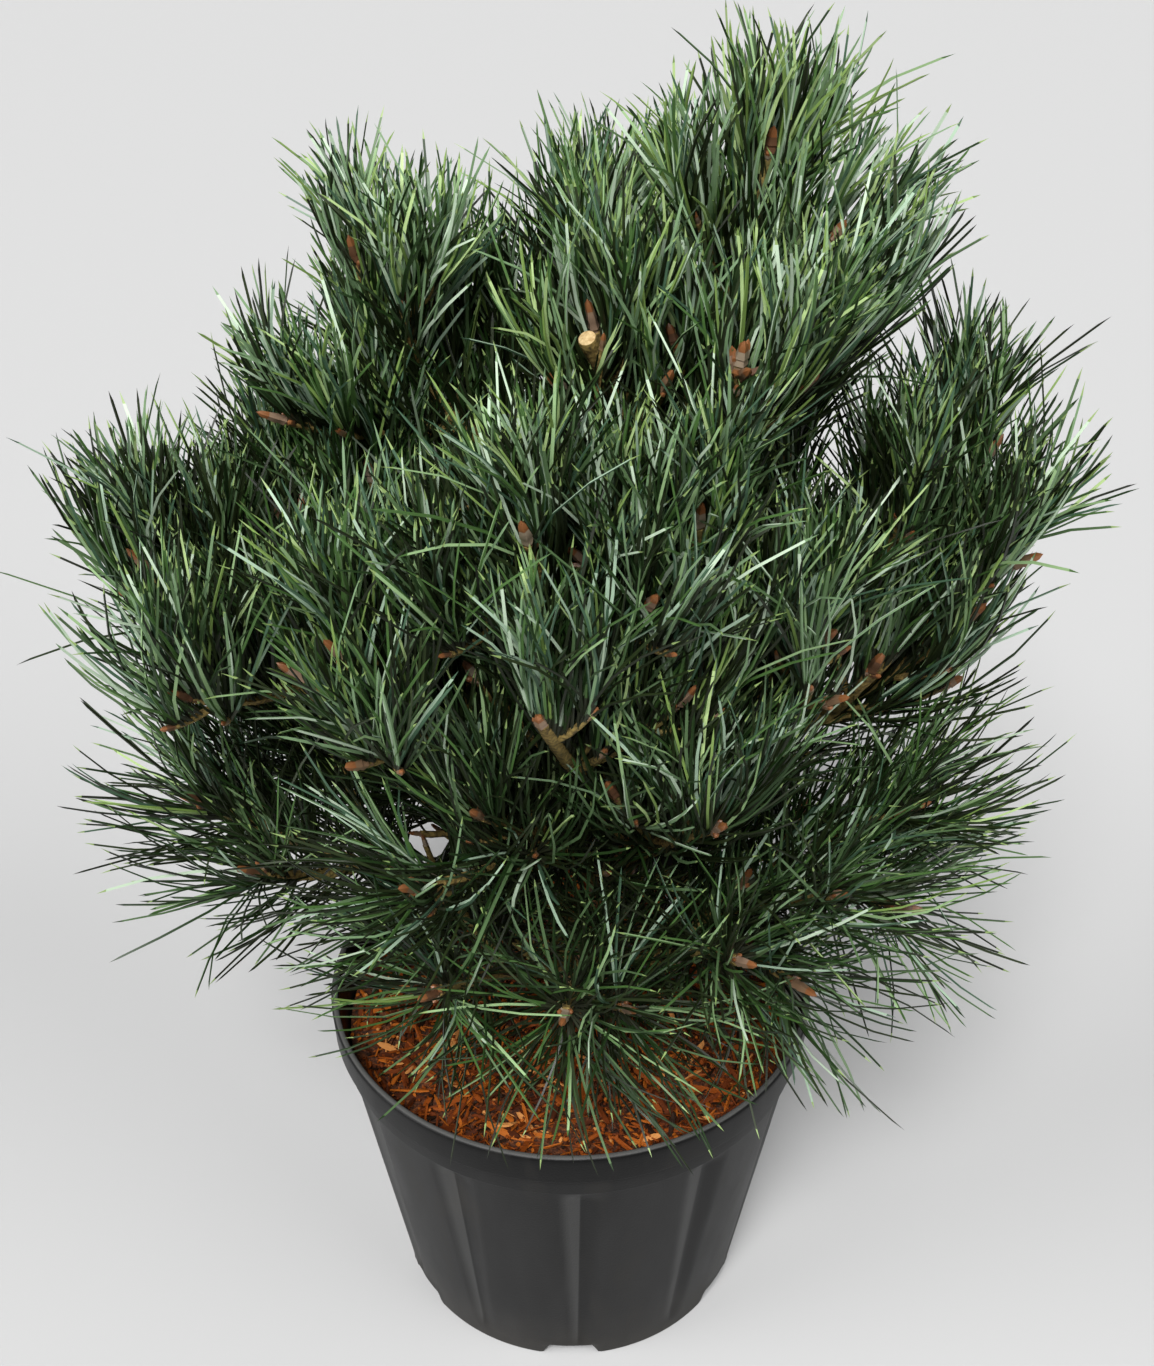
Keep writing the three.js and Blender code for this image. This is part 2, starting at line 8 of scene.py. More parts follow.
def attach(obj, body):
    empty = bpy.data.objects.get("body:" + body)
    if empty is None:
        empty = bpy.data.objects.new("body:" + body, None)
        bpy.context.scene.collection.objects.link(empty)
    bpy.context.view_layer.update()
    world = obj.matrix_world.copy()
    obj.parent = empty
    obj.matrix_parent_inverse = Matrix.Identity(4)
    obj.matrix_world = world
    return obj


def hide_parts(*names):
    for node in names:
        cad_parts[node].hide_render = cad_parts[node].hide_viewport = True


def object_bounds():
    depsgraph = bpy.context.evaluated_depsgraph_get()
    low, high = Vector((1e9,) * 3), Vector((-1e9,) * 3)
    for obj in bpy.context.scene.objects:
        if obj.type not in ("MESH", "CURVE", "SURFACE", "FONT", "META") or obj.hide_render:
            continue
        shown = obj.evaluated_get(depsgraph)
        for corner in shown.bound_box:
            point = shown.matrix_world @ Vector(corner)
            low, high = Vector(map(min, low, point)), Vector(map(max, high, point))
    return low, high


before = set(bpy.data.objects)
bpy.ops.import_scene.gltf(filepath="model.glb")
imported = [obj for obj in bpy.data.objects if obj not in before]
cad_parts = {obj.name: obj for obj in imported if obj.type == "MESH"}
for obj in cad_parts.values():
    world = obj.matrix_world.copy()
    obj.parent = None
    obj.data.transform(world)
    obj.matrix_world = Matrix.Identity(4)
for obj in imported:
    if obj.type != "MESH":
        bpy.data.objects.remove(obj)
cad_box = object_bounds()

# The camera stands at shoulder height in front of the plant and looks down on it. Its lens is a short
# telephoto, so the pot tapers only a little.
bpy.ops.object.camera_add(location=(0.004, -0.946, 1.12), rotation=(math.radians(55), 0, 0))
bpy.context.object.data.lens = 53.5
bpy.context.scene.camera = bpy.context.object

# The pot is injection-moulded from black recycled plastic. It is a straight taper, stiffened by tapering
# grooves, with a stepped collar, a lip with a rolled edge to lift it by, and drain mouths at its foot.
POT_SIDES = 352
POT_HEIGHT = 0.230
RIM_RADIUS = 0.151
FOOT_RADIUS = 0.111
WALL = 0.0024
LIP_HEIGHT = 0.021
LIP_STEP = 0.003
COLLAR_HEIGHT = 0.015
COLLAR_STEP = 0.002
LIP_TAPER = 0.001
RIM_ROUND = 0.0025
EDGE_ROUND = 0.0006
FOOT_RING = 0.005
FLOOR_RISE = 0.009
FLOOR_MIDDLE = 0.060
FLOOR_SLOPE = 0.006
POLE = 0.001
FLUTES = 11
FLUTE_TURN = math.radians(273)
FLUTE_DEPTH = 0.0046
FLUTE_WIDTH = 0.028
FLUTE_FOOT_SHARE = 0.4
FLUTE_TOP = 0.182
FLUTE_ROUNDING = 0.18
FLUTE_REACH = 1.06
FLUTE_FADE_TOP = 0.011
FLUTE_FADE_FOOT = 0.010
PLAIN_INSIDE = 0.18
DRAINS = 6
DRAIN_TURN = math.radians(270)
DRAIN_WIDTH = 0.033
DRAIN_HEIGHT = 0.0085
DRAIN_EDGE = 0.004
DRAIN_ZONE = 0.012
DRAIN_FRAME = 0.0007
FRAME_PLACE = 0.013
FRAME_WIDTH = 0.003
FRAME_ZONE = 0.020
MARGIN = 0.001
LIP_BOTTOM = POT_HEIGHT - LIP_HEIGHT
COLLAR_BOTTOM = LIP_BOTTOM - COLLAR_HEIGHT
WALL_TOP = RIM_RADIUS - LIP_STEP - COLLAR_STEP - RIM_ROUND
COLLAR_RADIUS = WALL_TOP + COLLAR_STEP
# heights of the wall's rings, close together at its foot and under the collar
WALL_RINGS = (
    *(EDGE_ROUND, 0.003, 0.006, 0.009, 0.012, 0.016, 0.022),
    *np.arange(0.032, 0.178, 0.012),
    *(0.179, 0.1825, 0.186, 0.1895),
)


def mixed(low, high, share):
    return low + (high - low) * share


def clamped(value, low=0.0, high=1.0):
    return min(high, max(low, value))


def wall_at(height):
    return mixed(FOOT_RADIUS, WALL_TOP, height / COLLAR_BOTTOM)


def turned(name, profile, sides):
    """A solid turned about the Z axis: a circle extruded from ring to ring, closed at both ends."""
    radius, height = profile[0]
    foot = (0, 0, height)
    bpy.ops.mesh.primitive_circle_add(vertices=sides, radius=radius, fill_type="NGON", location=foot)
    piece = bpy.context.object
    piece.name = name
    bpy.ops.object.transform_apply()
    bpy.ops.object.mode_set(mode="EDIT")
    bpy.ops.mesh.select_all(action="SELECT")
    for next_radius, next_height in profile[1:]:
        bpy.ops.mesh.extrude_region_move(TRANSFORM_OT_translate={"value": (0, 0, next_height - height)})
        if next_radius == 0:
            bpy.ops.mesh.merge(type="CENTER")
            break
        bpy.ops.transform.resize(value=(next_radius / radius, next_radius / radius, 1))
        radius, height = next_radius, next_height
    bpy.ops.mesh.select_all(action="SELECT")
    bpy.ops.mesh.normals_make_consistent(inside=False)
    bpy.ops.object.mode_set(mode="OBJECT")
    return piece


def arc(middle_radius, middle_height, size, start, end, steps):
    """Points of a rounded edge in a turned profile, from one angle to another in degrees."""
    angles = [math.radians(mixed(start, end, i / steps)) for i in range(steps + 1)]
    return [(middle_radius + size * math.cos(a), middle_height + size * math.sin(a)) for a in angles]


channel = FOOT_RADIUS - FOOT_RING
inner_foot = FOOT_RADIUS - WALL - FLUTE_DEPTH
inner_bend = wall_at(PLAIN_INSIDE) - WALL - FLUTE_DEPTH
pot_profile = [
    (POLE, 0),
    (FLOOR_MIDDLE, 0),
    (FLOOR_MIDDLE + FLOOR_SLOPE, FLOOR_RISE),
    *[(channel, z) for z in (FLOOR_RISE, 0.006, 0.003, 0)],
    (FOOT_RADIUS - EDGE_ROUND, 0),
    *[(wall_at(z), z) for z in WALL_RINGS],
    *arc(WALL_TOP - EDGE_ROUND, COLLAR_BOTTOM - EDGE_ROUND, EDGE_ROUND, 0, 45, 1),
    *arc(COLLAR_RADIUS - EDGE_ROUND, COLLAR_BOTTOM + EDGE_ROUND, EDGE_ROUND, -90, 0, 3),
    (COLLAR_RADIUS, LIP_BOTTOM - EDGE_ROUND),
    *arc(RIM_RADIUS - LIP_TAPER - EDGE_ROUND, LIP_BOTTOM + EDGE_ROUND, EDGE_ROUND, -90, 0, 3),
    (RIM_RADIUS - 0.0003, POT_HEIGHT - 2.2 * RIM_ROUND),
    *arc(RIM_RADIUS - RIM_ROUND, POT_HEIGHT - RIM_ROUND, RIM_ROUND, 0, 180, 8),
    (RIM_RADIUS - 2.1 * RIM_ROUND, POT_HEIGHT - 2 * RIM_ROUND),
    (COLLAR_RADIUS - WALL, LIP_BOTTOM),
    (WALL_TOP - WALL, COLLAR_BOTTOM),
    (inner_bend, PLAIN_INSIDE),
    (inner_foot, FLOOR_RISE + WALL),
    (POLE, FLOOR_RISE + WALL),
]
pot = turned("moulded_pot", pot_profile, POT_SIDES)


def from_nearest(angle, count, turn):
    """The signed angle from the nearest of some directions that lie evenly round the pot."""
    pitch = 2 * math.pi / count
    return (angle - turn + pitch / 2) % pitch - pitch / 2


def groove_depth(angle, height):
    """How far the wall is drawn in: V-shaped across a groove, dying away where the collar begins."""
    share = mixed(FLUTE_FOOT_SHARE, 1, clamped(height / FLUTE_TOP))
    across = abs(from_nearest(angle, FLUTES, FLUTE_TURN)) * wall_at(height) / (share * FLUTE_WIDTH / 2)
    valley = clamped(FLUTE_REACH - math.hypot(across, FLUTE_ROUNDING))
    fade_above = clamped((COLLAR_BOTTOM - height) / FLUTE_FADE_TOP)
    fade_below = clamped((height - FLUTE_FADE_FOOT) / FLUTE_FADE_FOOT)
    return FLUTE_DEPTH * share * valley * (fade_above * fade_below)


# the depth of a groove stays on the mesh, signed by its left or right side, for a painted shade on one flank
# and a painted sheen on the other
drawn_in = pot.data.attributes.new("drawn_in", "FLOAT", "POINT")
for vertex in pot.data.vertices:
    x, y, z = vertex.co
    radius, angle = math.hypot(x, y), math.atan2(y, x)
    if radius < channel - MARGIN:
        continue
    is_outer = z < COLLAR_BOTTOM and radius > wall_at(z) - MARGIN
    drain_side = abs(from_nearest(angle, DRAINS, DRAIN_TURN)) * FOOT_RADIUS - DRAIN_WIDTH / 2
    mouth = clamped(0.5 - drain_side / DRAIN_EDGE)
    if z < DRAIN_ZONE:
        vertex.co.z = z + mouth * DRAIN_HEIGHT * (1 - z / DRAIN_ZONE)
    if is_outer:
        from_frame = abs(max(drain_side, z - FRAME_PLACE))
        framing = clamped(1 - from_frame / FRAME_WIDTH) if z < FRAME_ZONE else 0
        depth = groove_depth(angle, z)
        drawn = radius - depth + DRAIN_FRAME * framing
        left_or_right = from_nearest(angle, FLUTES, FLUTE_TURN)
        drawn_in.data[vertex.index].value = math.copysign(depth / FLUTE_DEPTH, left_or_right)
        vertex.co.x *= drawn / radius
        vertex.co.y *= drawn / radius


def feed(tree, socket, value):
    if isinstance(value, Wire):
        tree.links.new(value.socket, socket)
    else:
        socket.default_value = value


class Wire:
    """A socket of a material, with sums, differences and products that add their Math nodes."""

    def __init__(self, tree, socket):
        self.tree = tree
        self.socket = socket

    def worked(self, operation, first, second):
        node = self.tree.nodes.new("ShaderNodeMath")
        node.operation = operation
        feed(self.tree, node.inputs[0], first)
        feed(self.tree, node.inputs[1], second)
        return Wire(self.tree, node.outputs[0])

    def __add__(self, other):
        return self.worked("ADD", self, other)

    def __sub__(self, other):
        return self.worked("SUBTRACT", self, other)

    def __rsub__(self, other):
        return self.worked("SUBTRACT", other, self)

    def __mul__(self, other):
        return self.worked("MULTIPLY", self, other)

    __radd__ = __add__
    __rmul__ = __mul__

    def kept(self):
        """The value held between 0 and 1."""
        return self.worked("MINIMUM", self.worked("MAXIMUM", self, 0.0), 1.0)


class Finish:
    """A material in the making: plain numbers on its shader, and one method that adds any other node."""

    def __init__(self, name, roughness, colour=(0.5, 0.5, 0.5), **plain):
        self.material = bpy.data.materials.new(name)
        self.material.use_nodes = True
        self.material.diffuse_color = (*colour, 1)
        self.tree = self.material.node_tree
        self.shader = self.tree.nodes["Principled BSDF"]
        self.put("Base Color", (*colour, 1))
        self.put("Roughness", roughness)
        for socket, value in plain.items():
            self.put(socket.replace("_", " "), value)

    def put(self, socket, value):
        feed(self.tree, self.shader.inputs[socket], value)

    def node(self, kind, settings, inputs, output=0):
        made = self.tree.nodes.new("ShaderNode" + kind)
        for name, value in settings.items():
            setattr(made, name, value)
        for name, value in inputs.items():
            feed(self.tree, made.inputs[name], value)
        return Wire(self.tree, made.outputs[output])

    def place(self, stretch=(1, 1, 1)):
        """Object coordinates, stretched along the axes."""
        where = self.node("TexCoord", {}, {}, output=3)
        return self.node("Mapping", {}, {"Vector": where, "Scale": stretch})

    def cloud(self, scale, detail=4.0, stretch=(1, 1, 1)):
        """Soft random values about 0.5, with features about 1/scale of a metre wide."""
        return self.node("TexNoise", {}, {"Vector": self.place(stretch), "Scale": scale, "Detail": detail})

    def ramp(self, value, stops):
        made = self.node("ValToRGB", {}, {"Fac": value})
        elements = made.socket.node.color_ramp.elements
        for _ in stops[2:]:
            elements.new(0.5)
        for element, (place, colour) in zip(elements, stops):
            element.position = place
            element.color = (*colour, 1)
        return made

    def blend(self, share, first, second):
        """One colour over another: Mix's colour sockets are its seventh and eighth, and its third output."""
        made = self.tree.nodes.new("ShaderNodeMix")
        made.data_type = "RGBA"
        for slot, value in ((0, share), (6, first), (7, second)):
            feed(self.tree, made.inputs[slot], (*value, 1) if isinstance(value, tuple) else value)
        return Wire(self.tree, made.outputs[2])

    def relief(self, height, strength, distance):
        bump = self.node("Bump", {}, {"Height": height, "Strength": strength, "Distance": distance})
        self.put("Normal", bump)


def picked(piece):
    bpy.ops.object.select_all(action="DESELECT")
    piece.select_set(True)
    bpy.context.view_layer.objects.active = piece


def finished(piece, finishes, nodes, smooth):
    """Gives a piece its finishes and shading, its body and the solids it stands for."""
    for finish in finishes:
        piece.data.materials.append(finish.material)
    picked(piece)
    bpy.ops.object.shade_smooth_by_angle(angle=math.radians(smooth))
    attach(piece, "root")
    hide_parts(*nodes)


PLASTIC_DARK, PLASTIC_PALE = (0.004, 0.004, 0.004), (0.013, 0.013, 0.013)
GROOVE_SHADE, GROOVE_SHEEN = (0.003, 0.003, 0.003), (0.052, 0.052, 0.051)
LIP_PAINTED_SHADE, RIM_SHEEN = (0.002, 0.002, 0.002), (0.13, 0.13, 0.125)
DUST_COLOUR = (0.11, 0.10, 0.085)
DUST_HEIGHT = 0.05
LIP_BAND_START = LIP_BOTTOM - 0.001
RIM_BAND_START = POT_HEIGHT - 0.0008

plastic = Finish("black_moulded_plastic", 0.5, (0.018, 0.018, 0.019), Specular_IOR_Level=0.16)
height = plastic.node("SeparateXYZ", {}, {"Vector": plastic.place()}, output=2)
flank = plastic.node("Attribute", {"attribute_name": "drawn_in"}, {}, output=2)
scuffs = plastic.cloud(46, 6.0, (1, 1, 0.35))
flow = plastic.cloud(14, 3.0, (3, 3, 0.5))
dust = ((DUST_HEIGHT - height) * 14).kept() * plastic.cloud(60, 5.0) + ((scuffs - 0.56) * 3).kept() * 0.35
base = plastic.blend(flow, PLASTIC_DARK, PLASTIC_PALE)
# one flank of each groove gets painted shade, the other a painted sheen
base = plastic.blend((flank * 2.5).kept() * 0.6, base, GROOVE_SHADE)
base = plastic.blend((flank * -2.5).kept() * 0.6, base, GROOVE_SHEEN)
# the lip band is painted darker: painted shade under the crown
base = plastic.blend(((height - LIP_BAND_START) * 900).kept(), base, LIP_PAINTED_SHADE)
# a thin painted highlight along the rolled rim's top
base = plastic.blend(((height - RIM_BAND_START) * 2200).kept() * 0.5, base, RIM_SHEEN)
plastic.put("Base Color", plastic.blend(dust.kept() * 0.4, base, DUST_COLOUR))
plastic.put("Roughness", 0.38 + 0.16 * scuffs + 0.2 * dust.kept())
plastic.relief(plastic.cloud(900, 2.0) + flow * 0.6, 0.22, 0.0006)
finished(pot, [plastic], ["pot"], smooth=32)

# The fill is a potting mix of peat and shredded pine bark, one body down to the pot's floor. Its lumpy top is
# mounded a little to the trunk's foot, and splinters and crumbs of bark lie on it as they were tipped in.
MIX_TOP = 0.203
MIX_MOUND = 0.007
MIX_LEVEL = 0.036
MIX_GAP = 0.0006
MIX_FLOOR = FLOOR_RISE + WALL + 0.0003
MIX_EDGE = WALL_TOP - WALL - MIX_GAP
MIX_RINGS = 30
MIX_LUMPS = 0.0026
FINES_BELOW = 0.004
CHIPS = 3400
CHIP_FLATNESS = 0.42
CHIP_SLANT = 0.14
CHIP_TWIST = 0.7
CHIP_LENGTHS = (0.005, 0.038)
CHIP_WIDTHS = (0.0010, 0.0046)
CHIP_SLIMNESS = (0.06, 0.24)
CHIP_DEPTHS = (-0.005, 0.0005)
CRUMBS = 3000
CRUMB_SIZES = (0.0008, 0.0032)
CRUMB_DEPTHS = (-0.003, 0.0005)
BARK_BROWNS = [
    *((0.105, 0.020, 0.001), (0.200, 0.042, 0.002), (0.320, 0.082, 0.006)),
    *((0.050, 0.010, 0.001), (0.480, 0.200, 0.055), (0.015, 0.005, 0.001)),
]
BROWN_SHARES = (0.26, 0.27, 0.17, 0.15, 0.05, 0.10)


def mix_height_at(radius):
    fall = np.clip((radius - MIX_LEVEL) / (MIX_EDGE - MIX_LEVEL), 0, 1)
    return mixed(MIX_TOP + MIX_MOUND, MIX_TOP, fall)


mix_profile = [
    (POLE, MIX_FLOOR),
    (inner_foot - MIX_GAP, MIX_FLOOR),
    (inner_bend - MIX_GAP, PLAIN_INSIDE),
    (MIX_EDGE, COLLAR_BOTTOM),
]
for i in range(MIX_RINGS):
    radius = MIX_EDGE * (1 - i / MIX_RINGS)
    mix_profile.append((radius, mix_height_at(radius) - FINES_BELOW))
mix_profile.append((0, MIX_TOP + MIX_MOUND - FINES_BELOW))
mix = turned("bark_mix", mix_profile, 120)
for vertex in mix.data.vertices:
    if vertex.co.z > COLLAR_BOTTOM + MARGIN and math.hypot(*vertex.co.xy) < MIX_EDGE - 2 * MARGIN:
        lumps = noise.noise(vertex.co * 60) + 0.6 * noise.noise(vertex.co * 190)
        vertex.co.z += MIX_LUMPS * lumps

peat = Finish("peat_and_bark_fines", 0.95, (0.10, 0.035, 0.012))
grains = peat.cloud(420, 6.0)
peat_browns = [(0.30, (0.012, 0.004, 0.001)), (0.50, (0.07, 0.018, 0.003)), (0.72, (0.22, 0.06, 0.010))]
peat.put("Base Color", peat.ramp(grains, peat_browns))
peat.relief(grains, 0.9, 0.003)
finished(mix, [peat], ["potting_mix"], smooth=60)


def unit(vectors):
    return vectors / np.linalg.norm(vectors, axis=-1, keepdims=True)


def random_directions(random, count):
    return unit(random.normal(size=(count, 3)))


def square_to(directions, others):
    """Unit vectors square to some directions, as near as can be to others."""
    return unit(others - directions * np.sum(directions * others, axis=-1, keepdims=True))


def copies(name, master, root, heading, side, length, width, material_index, bend=np.zeros((1, 3))):
    """One mesh of many copies of a master that stands on Z and is one unit long. A copy bends away from its
    heading by the square of the way along it."""
    shape = np.array([vertex.co for vertex in master.data.vertices])
    across, up = shape[:, :2], shape[:, 2:]
    normal = np.cross(heading, side)
    points = root[:, None] + heading[:, None] * (length[:, None, None] * up) + bend[:, None] * up**2
    points += side[:, None] * (width[:, None, None] * across[:, :1])
    points += normal[:, None] * (width[:, None, None] * across[:, 1:])
    corners = np.array([loop.vertex_index for loop in master.data.loops])
    starts = np.array([face.loop_start for face in master.data.polygons])
    number = np.arange(len(root))[:, None]
    material_index = np.broadcast_to(material_index, (len(root), len(starts)))
    mesh = bpy.data.meshes.new(name)
    mesh.vertices.add(points.shape[0] * points.shape[1])
    mesh.vertices.foreach_set("co", points.astype(np.float32).ravel())
    mesh.loops.add(number.size * corners.size)
    mesh.loops.foreach_set("vertex_index", (corners + number * len(shape)).astype(np.int32).ravel())
    mesh.polygons.add(number.size * starts.size)
    mesh.polygons.foreach_set("loop_start", (starts + number * corners.size).astype(np.int32).ravel())
    mesh.polygons.foreach_set("material_index", material_index.astype(np.int32).ravel())
    mesh.update(calc_edges=True)
    piece = bpy.data.objects.new(name, mesh)
    bpy.context.collection.objects.link(piece)
    return piece


def discarded(*masters):
    for master in masters:
        bpy.data.objects.remove(master)


chip_random = np.random.default_rng(7)


def spots_on_mix(count, edge):
    """Random places all over the fill's top, out to an edge."""
    radius = edge * np.sqrt(chip_random.random(count))
    angle = chip_random.random(count) * math.tau
    return np.stack([radius * np.cos(angle), radius * np.sin(angle), mix_height_at(radius)], axis=-1)


# a splinter is a flat twisted rod with frayed slanting ends
splinter = turned("splinter_master", [(0.30, 0), (0.5, 0.12), (0.46, 0.45), (0.5, 0.8), (0.22, 1)], 5)
for vertex in splinter.data.vertices:
    vertex.co.y *= CHIP_FLATNESS
    vertex.co.z += CHIP_SLANT * vertex.co.x * (1 if vertex.co.z > 0.5 else -1)
    turn = CHIP_TWIST * vertex.co.z
    x, y = vertex.co.x, vertex.co.y
    vertex.co.x = x * math.cos(turn) - y * math.sin(turn)
    vertex.co.y = x * math.sin(turn) + y * math.cos(turn)

middle = spots_on_mix(CHIPS, MIX_EDGE * 0.985)
length = chip_random.gamma(3.4, 0.0042, CHIPS).clip(*CHIP_LENGTHS)
width = (length * chip_random.uniform(*CHIP_SLIMNESS, CHIPS)).clip(*CHIP_WIDTHS)
lie = chip_random.random(CHIPS) * math.tau
tilt = chip_random.normal(0.05, 0.3, CHIPS)
heading = unit(np.stack([np.cos(lie), np.sin(lie), tilt], axis=-1))
middle[:, 2] += chip_random.uniform(*CHIP_DEPTHS, CHIPS)
root = middle - heading * length[:, None] / 2
ends = np.stack([root, root + heading * length[:, None]])
kept = (np.hypot(ends[..., 0], ends[..., 1]) < MIX_EDGE - MARGIN).all(axis=0)
side = square_to(heading, unit(chip_random.normal(size=(CHIPS, 3)) * (1, 1, 0.5)))
colours = chip_random.choice(len(BARK_BROWNS), CHIPS, p=BROWN_SHARES)
splinters = copies(
    "bark_splinters", splinter, root[kept], heading[kept], side[kept], length[kept], width[kept],
    colours[kept, None],
)
bark_colours = [
    Finish(f"bark_brown_{i}", 0.75, colour, Specular_IOR_Level=0.2) for i, colour in enumerate(BARK_BROWNS)
]
finished(splinters, bark_colours, [], smooth=40)

crumb = turned("crumb_master", [(0.3, 0), (0.5, 0.45), (0.2, 1)], 5)
root = spots_on_mix(CRUMBS, MIX_EDGE * 0.99)
size = chip_random.uniform(*CRUMB_SIZES, CRUMBS)
root[:, 2] += chip_random.uniform(*CRUMB_DEPTHS, CRUMBS)
heading = random_directions(chip_random, CRUMBS)
side = square_to(heading, random_directions(chip_random, CRUMBS))
colours = chip_random.choice(len(BARK_BROWNS), CRUMBS, p=BROWN_SHARES)
crumbs = copies("bark_crumbs", crumb, root, heading, side, size, size, colours[:, None])
finished(crumbs, bark_colours, [], smooth=50)
discarded(splinter, crumb)

# The trunk is one stem of green pine wood that leans to the right, flares at its foot and tapers to its tip.
# Its thin bark is grey-brown and breaks into small rough plates that turn orange where they have flaked.
TRUNK_CURVE = np.array([(0.008, 0.004, 0.2103), (0.044, 0.006, 0.400), (0.080, 0.026, 0.640)])
TRUNK_RADII = (0.015, 0.005)
TRUNK_FLARE = 0.007
TRUNK_FLARE_SHARE = 0.07
TRUNK_POINTS = 150


def point_on(curve, t):
    """Points of a curve with one bend, at one share of it or several."""
    start, bend, end = curve
    t = np.asarray(t, float)[..., None]
    return (1 - t) ** 2 * start + 2 * (1 - t) * t * bend + t**2 * end


def tangent_of(curve, t):
    start, bend, end = curve
    t = np.asarray(t, float)[..., None]
    return unit((1 - t) * (bend - start) + t * (end - bend))


def length_of(curve):
    return np.linalg.norm(np.diff(point_on(curve, np.linspace(0, 1, 201)), axis=0), axis=1).sum()


def wood(name, rods, roundness, relief_size, relief_depth):
    """Round tapering rods as one mesh of bevelled curves, displaced by the bark's relief."""
    curve = bpy.data.curves.new(name, "CURVE")
    curve.dimensions = "3D"
    curve.bevel_depth = 1
    curve.bevel_resolution = roundness
    curve.use_fill_caps = True
    for points, radii in rods:
        spline = curve.splines.new("POLY")
        spline.points.add(len(points) - 1)
        spline.points.foreach_set("co", np.c_[points, np.ones(len(points))].ravel())
        spline.points.foreach_set("radius", np.asarray(radii, float))
    piece = bpy.data.objects.new(name, curve)
    bpy.context.collection.objects.link(piece)
    picked(piece)
    bpy.ops.object.convert(target="MESH")
    piece = bpy.context.object
    plates = bpy.data.textures.new(name + "_plates", "VORONOI")
    plates.noise_scale = relief_size
    modifier = piece.modifiers.new("bark_relief", "DISPLACE")
    modifier.texture = plates
    modifier.texture_coords = "LOCAL"
    modifier.mid_level = 0.5
    modifier.strength = relief_depth
    bpy.ops.object.modifier_apply(modifier="bark_relief")
    return piece


share = np.linspace(0, 1, TRUNK_POINTS)
flare = np.clip(1 - share / TRUNK_FLARE_SHARE, 0, 1) ** 2
trunk_rod = (point_on(TRUNK_CURVE, share), mixed(*TRUNK_RADII, share) + TRUNK_FLARE * flare)
trunk = wood("trunk_in_bark", [trunk_rod], roundness=6, relief_size=0.006, relief_depth=0.0016)
for vertex in trunk.data.vertices:
    vertex.co.z = max(vertex.co.z, mix_height_at(0))

bark = Finish("pine_bark", 0.88, (0.16, 0.08, 0.035))
plates = bark.node("TexVoronoi", {"feature": "F1"}, {"Vector": bark.place((1, 1, 0.4)), "Scale": 260})
grain = bark.cloud(180, 6.0, (1, 1, 0.3))
bark_shades = [(0.25, (0.035, 0.020, 0.010)), (0.5, (0.15, 0.085, 0.040)), (0.78, (0.30, 0.15, 0.06))]
bark.put("Base Color", bark.ramp(grain * 0.7 + plates * 0.5, bark_shades))
bark.put("Roughness", 0.75 + 0.2 * grain)
bark.relief(plates + grain, 0.7, 0.0014)
finished(trunk, [bark], ["trunk"], smooth=60)

# Boughs leave the trunk in five whorls, one for each year, and turn up towards their tips. Each tapers from a
# thicker foot, has smooth brown bark, and runs on into the leafy stem at its end.
LIMBS = [
    # name, height on the trunk (mm), azimuth (degrees), reach and height of the bud (mm), twigs, turn
    ("skirt_front", 248, 269, 130, 326, 1, 200),
    ("skirt_left", 231, 240, 146, 338, 1, 40),
    ("skirt_right", 231, 311, 142, 344, 1, 150),
    ("low_front_right", 255, 330, 170, 372, 2, 10),
    ("low_left", 242, 186, 214, 388, 3, 60),
    ("low_back_left", 252, 137, 206, 352, 3, 72),
    ("back_low", 238, 84, 205, 346, 3, 20),
    ("low_right", 296, 349, 194, 394, 2, 90),
    ("front_left", 300, 251, 137, 465, 2, 300),
    ("front_right", 312, 300, 150, 457, 2, 30),
    ("mid_left", 311, 171, 206, 436, 2, 120),
    ("back_left", 302, 112, 218, 470, 3, 70),
    ("back_right", 304, 36, 202, 436, 4, 0),
    ("front_middle", 366, 265, 150, 538, 2, 20),
    ("middle_right", 386, 328, 153, 540, 2, 140),
    ("right", 366, 355, 214, 510, 3, 250),
    ("left", 362, 190, 222, 554, 3, 60),
    ("left_front", 384, 227, 163, 556, 3, 330),
    ("back_shoulder_right", 380, 58, 198, 560, 4, 50),
    ("shoulder_right", 446, 6, 224, 586, 3, 260),
    ("shoulder_left", 452, 171, 158, 550, 3, 100),
    ("back_shoulder_left", 466, 132, 176, 570, 3, 90),
    ("upper_front", 438, 261, 121, 622, 2, 180),
    ("upper_front_right", 460, 302, 118, 620, 2, 0),
    ("crown_front", 530, 324, 102, 686, 2, 60),
    ("upper_left", 536, 157, 120, 692, 3, 220),
    ("crown_middle", 550, 300, 26, 686, 3, 120),
    ("crown_back", 524, 88, 138, 660, 3, 200),
    # the leader runs on from the trunk's tip and has no bough of its own
    ("leader", 640, 16, 103, 758, 3, 300),
]
LIMB_ARM = 0.5
BUD_HEIGHTS = (0.320, 0.740)
TIP_SLOPE_DEGREES = (22, 82)
BOUGH_RADII = (0.0058, 0.0046)
BOUGH_SWELLING = 0.0016
BOUGH_STEP = 0.004
STEM_SHARE = 0.55
STEM_LENGTHS = (0.084, 0.156)
UP = np.array([0.0, 0.0, 1.0])


def turned_by(degrees):
    return np.array([math.cos(math.radians(degrees)), math.sin(math.radians(degrees)), 0.0])


def trunk_share_at(height):
    share, step = 0.5, 0.25
    while step > 1e-9:
        share += step if point_on(TRUNK_CURVE, share)[2] < height else -step
        step /= 2
    return share


def rank_at(height):
    """How high a point is in the crown: 0 among the lowest buds, 1 among the highest."""
    low, high = BUD_HEIGHTS
    return clamped((height - low) / (high - low))


